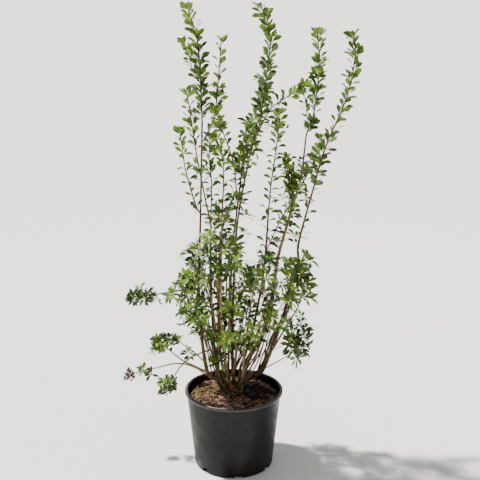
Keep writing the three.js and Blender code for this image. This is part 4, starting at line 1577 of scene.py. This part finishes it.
def make_chip(x, y, dice):
    """One chip of bark: a flat, uneven, tapering block laid at a slant."""
    size = [within(limits, dice) / 2 for limits in CHIP_SIZE]
    taper = within(CHIP_TAPER, dice)
    turn = any_turn(dice)
    pitch = within(CHIP_PITCH, dice)
    roll = within(CHIP_ROLL, dice)
    centre = Vector((x, y, soil_height(x, y) + within(CHIP_LIFT, dice)))
    level = math.cos(pitch)
    ahead = Vector((math.cos(turn) * level, math.sin(turn) * level, math.sin(pitch)))
    side = sideways(ahead, roll)
    axes = (ahead, side, ahead.cross(side))
    corners = []
    for a in (-1, 1):
        for b in (-1, 1):
            for c in (-1, 1):
                shares = (1.0, taper if a > 0 else 1.0, 1.0)
                corner = centre.copy()
                for k, sign in enumerate((a, b, c)):
                    gain = shares[k] * within(CHIP_UNEVEN[k], dice)
                    corner += axes[k] * (sign * size[k] * gain)
                corners.append(tuple(corner))
    faces = [(0, 1, 3, 2), (4, 6, 7, 5), (0, 4, 5, 1), (2, 3, 7, 6), (0, 2, 6, 4), (1, 5, 7, 3)]
    return corners, faces


def chip_tint(x, y, dice):
    """Moss on one side of the medium, near-black chips as a painted shadow on the other, and plain
    ones between.
    """
    mossy = math.dist((x, y), MOSS_CENTRE) < MOSS_RADIUS
    pick = dice()
    uneven = SHADOW_PATCH_UNEVEN * noise.noise(Vector((x, y, 0)) * SHADOW_PATCH_SCALE)
    away = math.hypot((x - SHADOW_PATCH_CENTRE[0]) / SHADOW_PATCH_STRETCH, y - SHADOW_PATCH_CENTRE[1])
    if mossy and pick < MOSS_SHARE:
        return CHIP_MOSS
    # Painted shadow: chips in the patch right of the stems take the near-black colour
    if away + uneven < SHADOW_PATCH_RADIUS and pick < SHADOW_PATCH_SHARE:
        return CHIP_PAINTED_SHADOW
    return int(dice() * CHIP_MOSS)


def make_chips():
    dice = seeded_dice(CHIP_SEED)
    finishes = [chip_finish(name, linear(*color)) for name, color in CHIP_COLORS.items()]
    room = inner_radius(SOIL_LEVEL) - CHIP_ROOM
    parts = []
    for _ in range(CHIP_COUNT):
        distance = room * math.sqrt(dice())
        turn = any_turn(dice)
        x, y = distance * math.cos(turn), distance * math.sin(turn)
        corners, faces = make_chip(x, y, dice)
        tint = chip_tint(x, y, dice)
        farthest = max(math.hypot(corner[0], corner[1]) for corner in corners)
        beside_stems = all(math.dist((x, y), spec.foot) > CHIP_ROOM for spec in STEMS.values())
        if farthest < room + CHIP_OVERHANG and beside_stems:
            parts.append((corners, faces, tint))
    corners, faces, slots = joined(parts)
    chips = mesh_piece("bark_chips", corners, faces, finishes, slots, smooth=False)
    place_in_frame(chips, "bark_medium")


# The plant
def make_limbs(limbs, barks):
    for name, limb, dice in with_dice(limbs, BARK_SEED):
        sides, bark = (STEM_SIDES, "stem_bark") if name in STEMS else (BOUGH_SIDES, "bough_bark")
        finish = barks["pale_bark" if name in PALE_STEMS else bark]
        corners, faces = tube(limb, sides, bark_swell(limb, dice))
        piece = mesh_piece(f"bark_{name}", corners, faces, [finish])
        place_in_frame(piece, "stem_bark", name)


def make_crown(growths, young_bark):
    """The twigs and the leaves of all the shoots, and those of all the masses."""
    leaf_finishes = [leaf_finish(name, linear(*color)) for name, color in LEAF_COLORS.items()]
    for kind in ("shoot", "foliage"):
        members = [growth for growth in growths if growth.name.startswith(kind)]
        for number, lot in enumerate(lots_of(members), 1):
            nodes = [growth.name for growth in lot if growth.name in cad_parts]
            tubes = [tube(twig, TWIG_SIDES) for growth in lot for twig in growth.twigs]
            corners, faces, _ = joined([(*one_tube, 0) for one_tube in tubes])
            twig_piece = mesh_piece(f"{kind}_twigs_{number}", corners, faces, [young_bark])
            corners, faces, tints = leaf_mesh([leaf for growth in lot for leaf in growth.leaves])
            leaf_piece = mesh_piece(f"{kind}_leaves_{number}", corners, faces, leaf_finishes, tints)
            place_in_frame(twig_piece, "stem_bark", *nodes)
            place_in_frame(leaf_piece, "foliage", *nodes)


def make_plant():
    barks = {name: bark_finish(name, *look) for name, look in BARKS.items()}
    limbs = grow_limbs()
    growths = grow_shoots(limbs) + grow_masses(limbs)
    growths += grow_stem_leaves(limbs) + grow_leafy_sprigs(limbs)
    for growth in growths:
        drop_touching_leaves(growth)
    make_limbs(limbs, barks)
    make_crown(growths, barks["young_bark"])


# Stage: a plain pale floor, soft light, and the camera where the photograph was taken from
def make_floor():
    corners = [(x * FLOOR_HALF, y * FLOOR_HALF, 0) for x, y in ((-1, -1), (1, -1), (1, 1), (-1, 1))]
    finish = Finish("floor_pale").done(linear(*FLOOR_COLOR), roughness=0.9)
    mesh_piece("floor", corners, [(0, 1, 2, 3)], [finish])


def add_light(name, kind, aim, power, color):
    data = bpy.data.lights.new(name, kind)
    data.energy = power
    data.color = color
    light = add_object(name, data)
    light.rotation_euler = Vector(aim).to_track_quat("-Z", "Y").to_euler()
    return light


def add_soft_light(name, place, target, size, power, color):
    light = add_light(name, "AREA", Vector(target) - Vector(place), power, color)
    light.location = place
    light.data.size = size


def make_camera():
    data = bpy.data.cameras.new("camera")
    data.lens = CAMERA_LENS
    data.sensor_width = CAMERA_SENSOR
    data.shift_x = CAMERA_SHIFT
    camera = add_object("camera", data)
    camera.location = (0, -CAMERA_DISTANCE, CAMERA_HEIGHT)
    camera.rotation_euler = (math.radians(90 - CAMERA_DIP), 0, 0)
    bpy.context.scene.camera = camera


def make_stage():
    make_floor()
    make_camera()
    add_light("key", "SUN", **SUN).data.angle = math.radians(SUN_ANGLE)
    for name, light in SOFT_LIGHTS.items():
        add_soft_light(name, **light)
    world = bpy.data.worlds.new("studio")
    world.use_nodes = True
    background = world.node_tree.nodes["Background"]
    background.inputs["Color"].default_value = (1, 1, 1, 1)
    background.inputs["Strength"].default_value = WORLD_STRENGTH
    bpy.context.scene.world = world


make_plant()
make_pot()
make_bed()
make_chips()
make_stage()
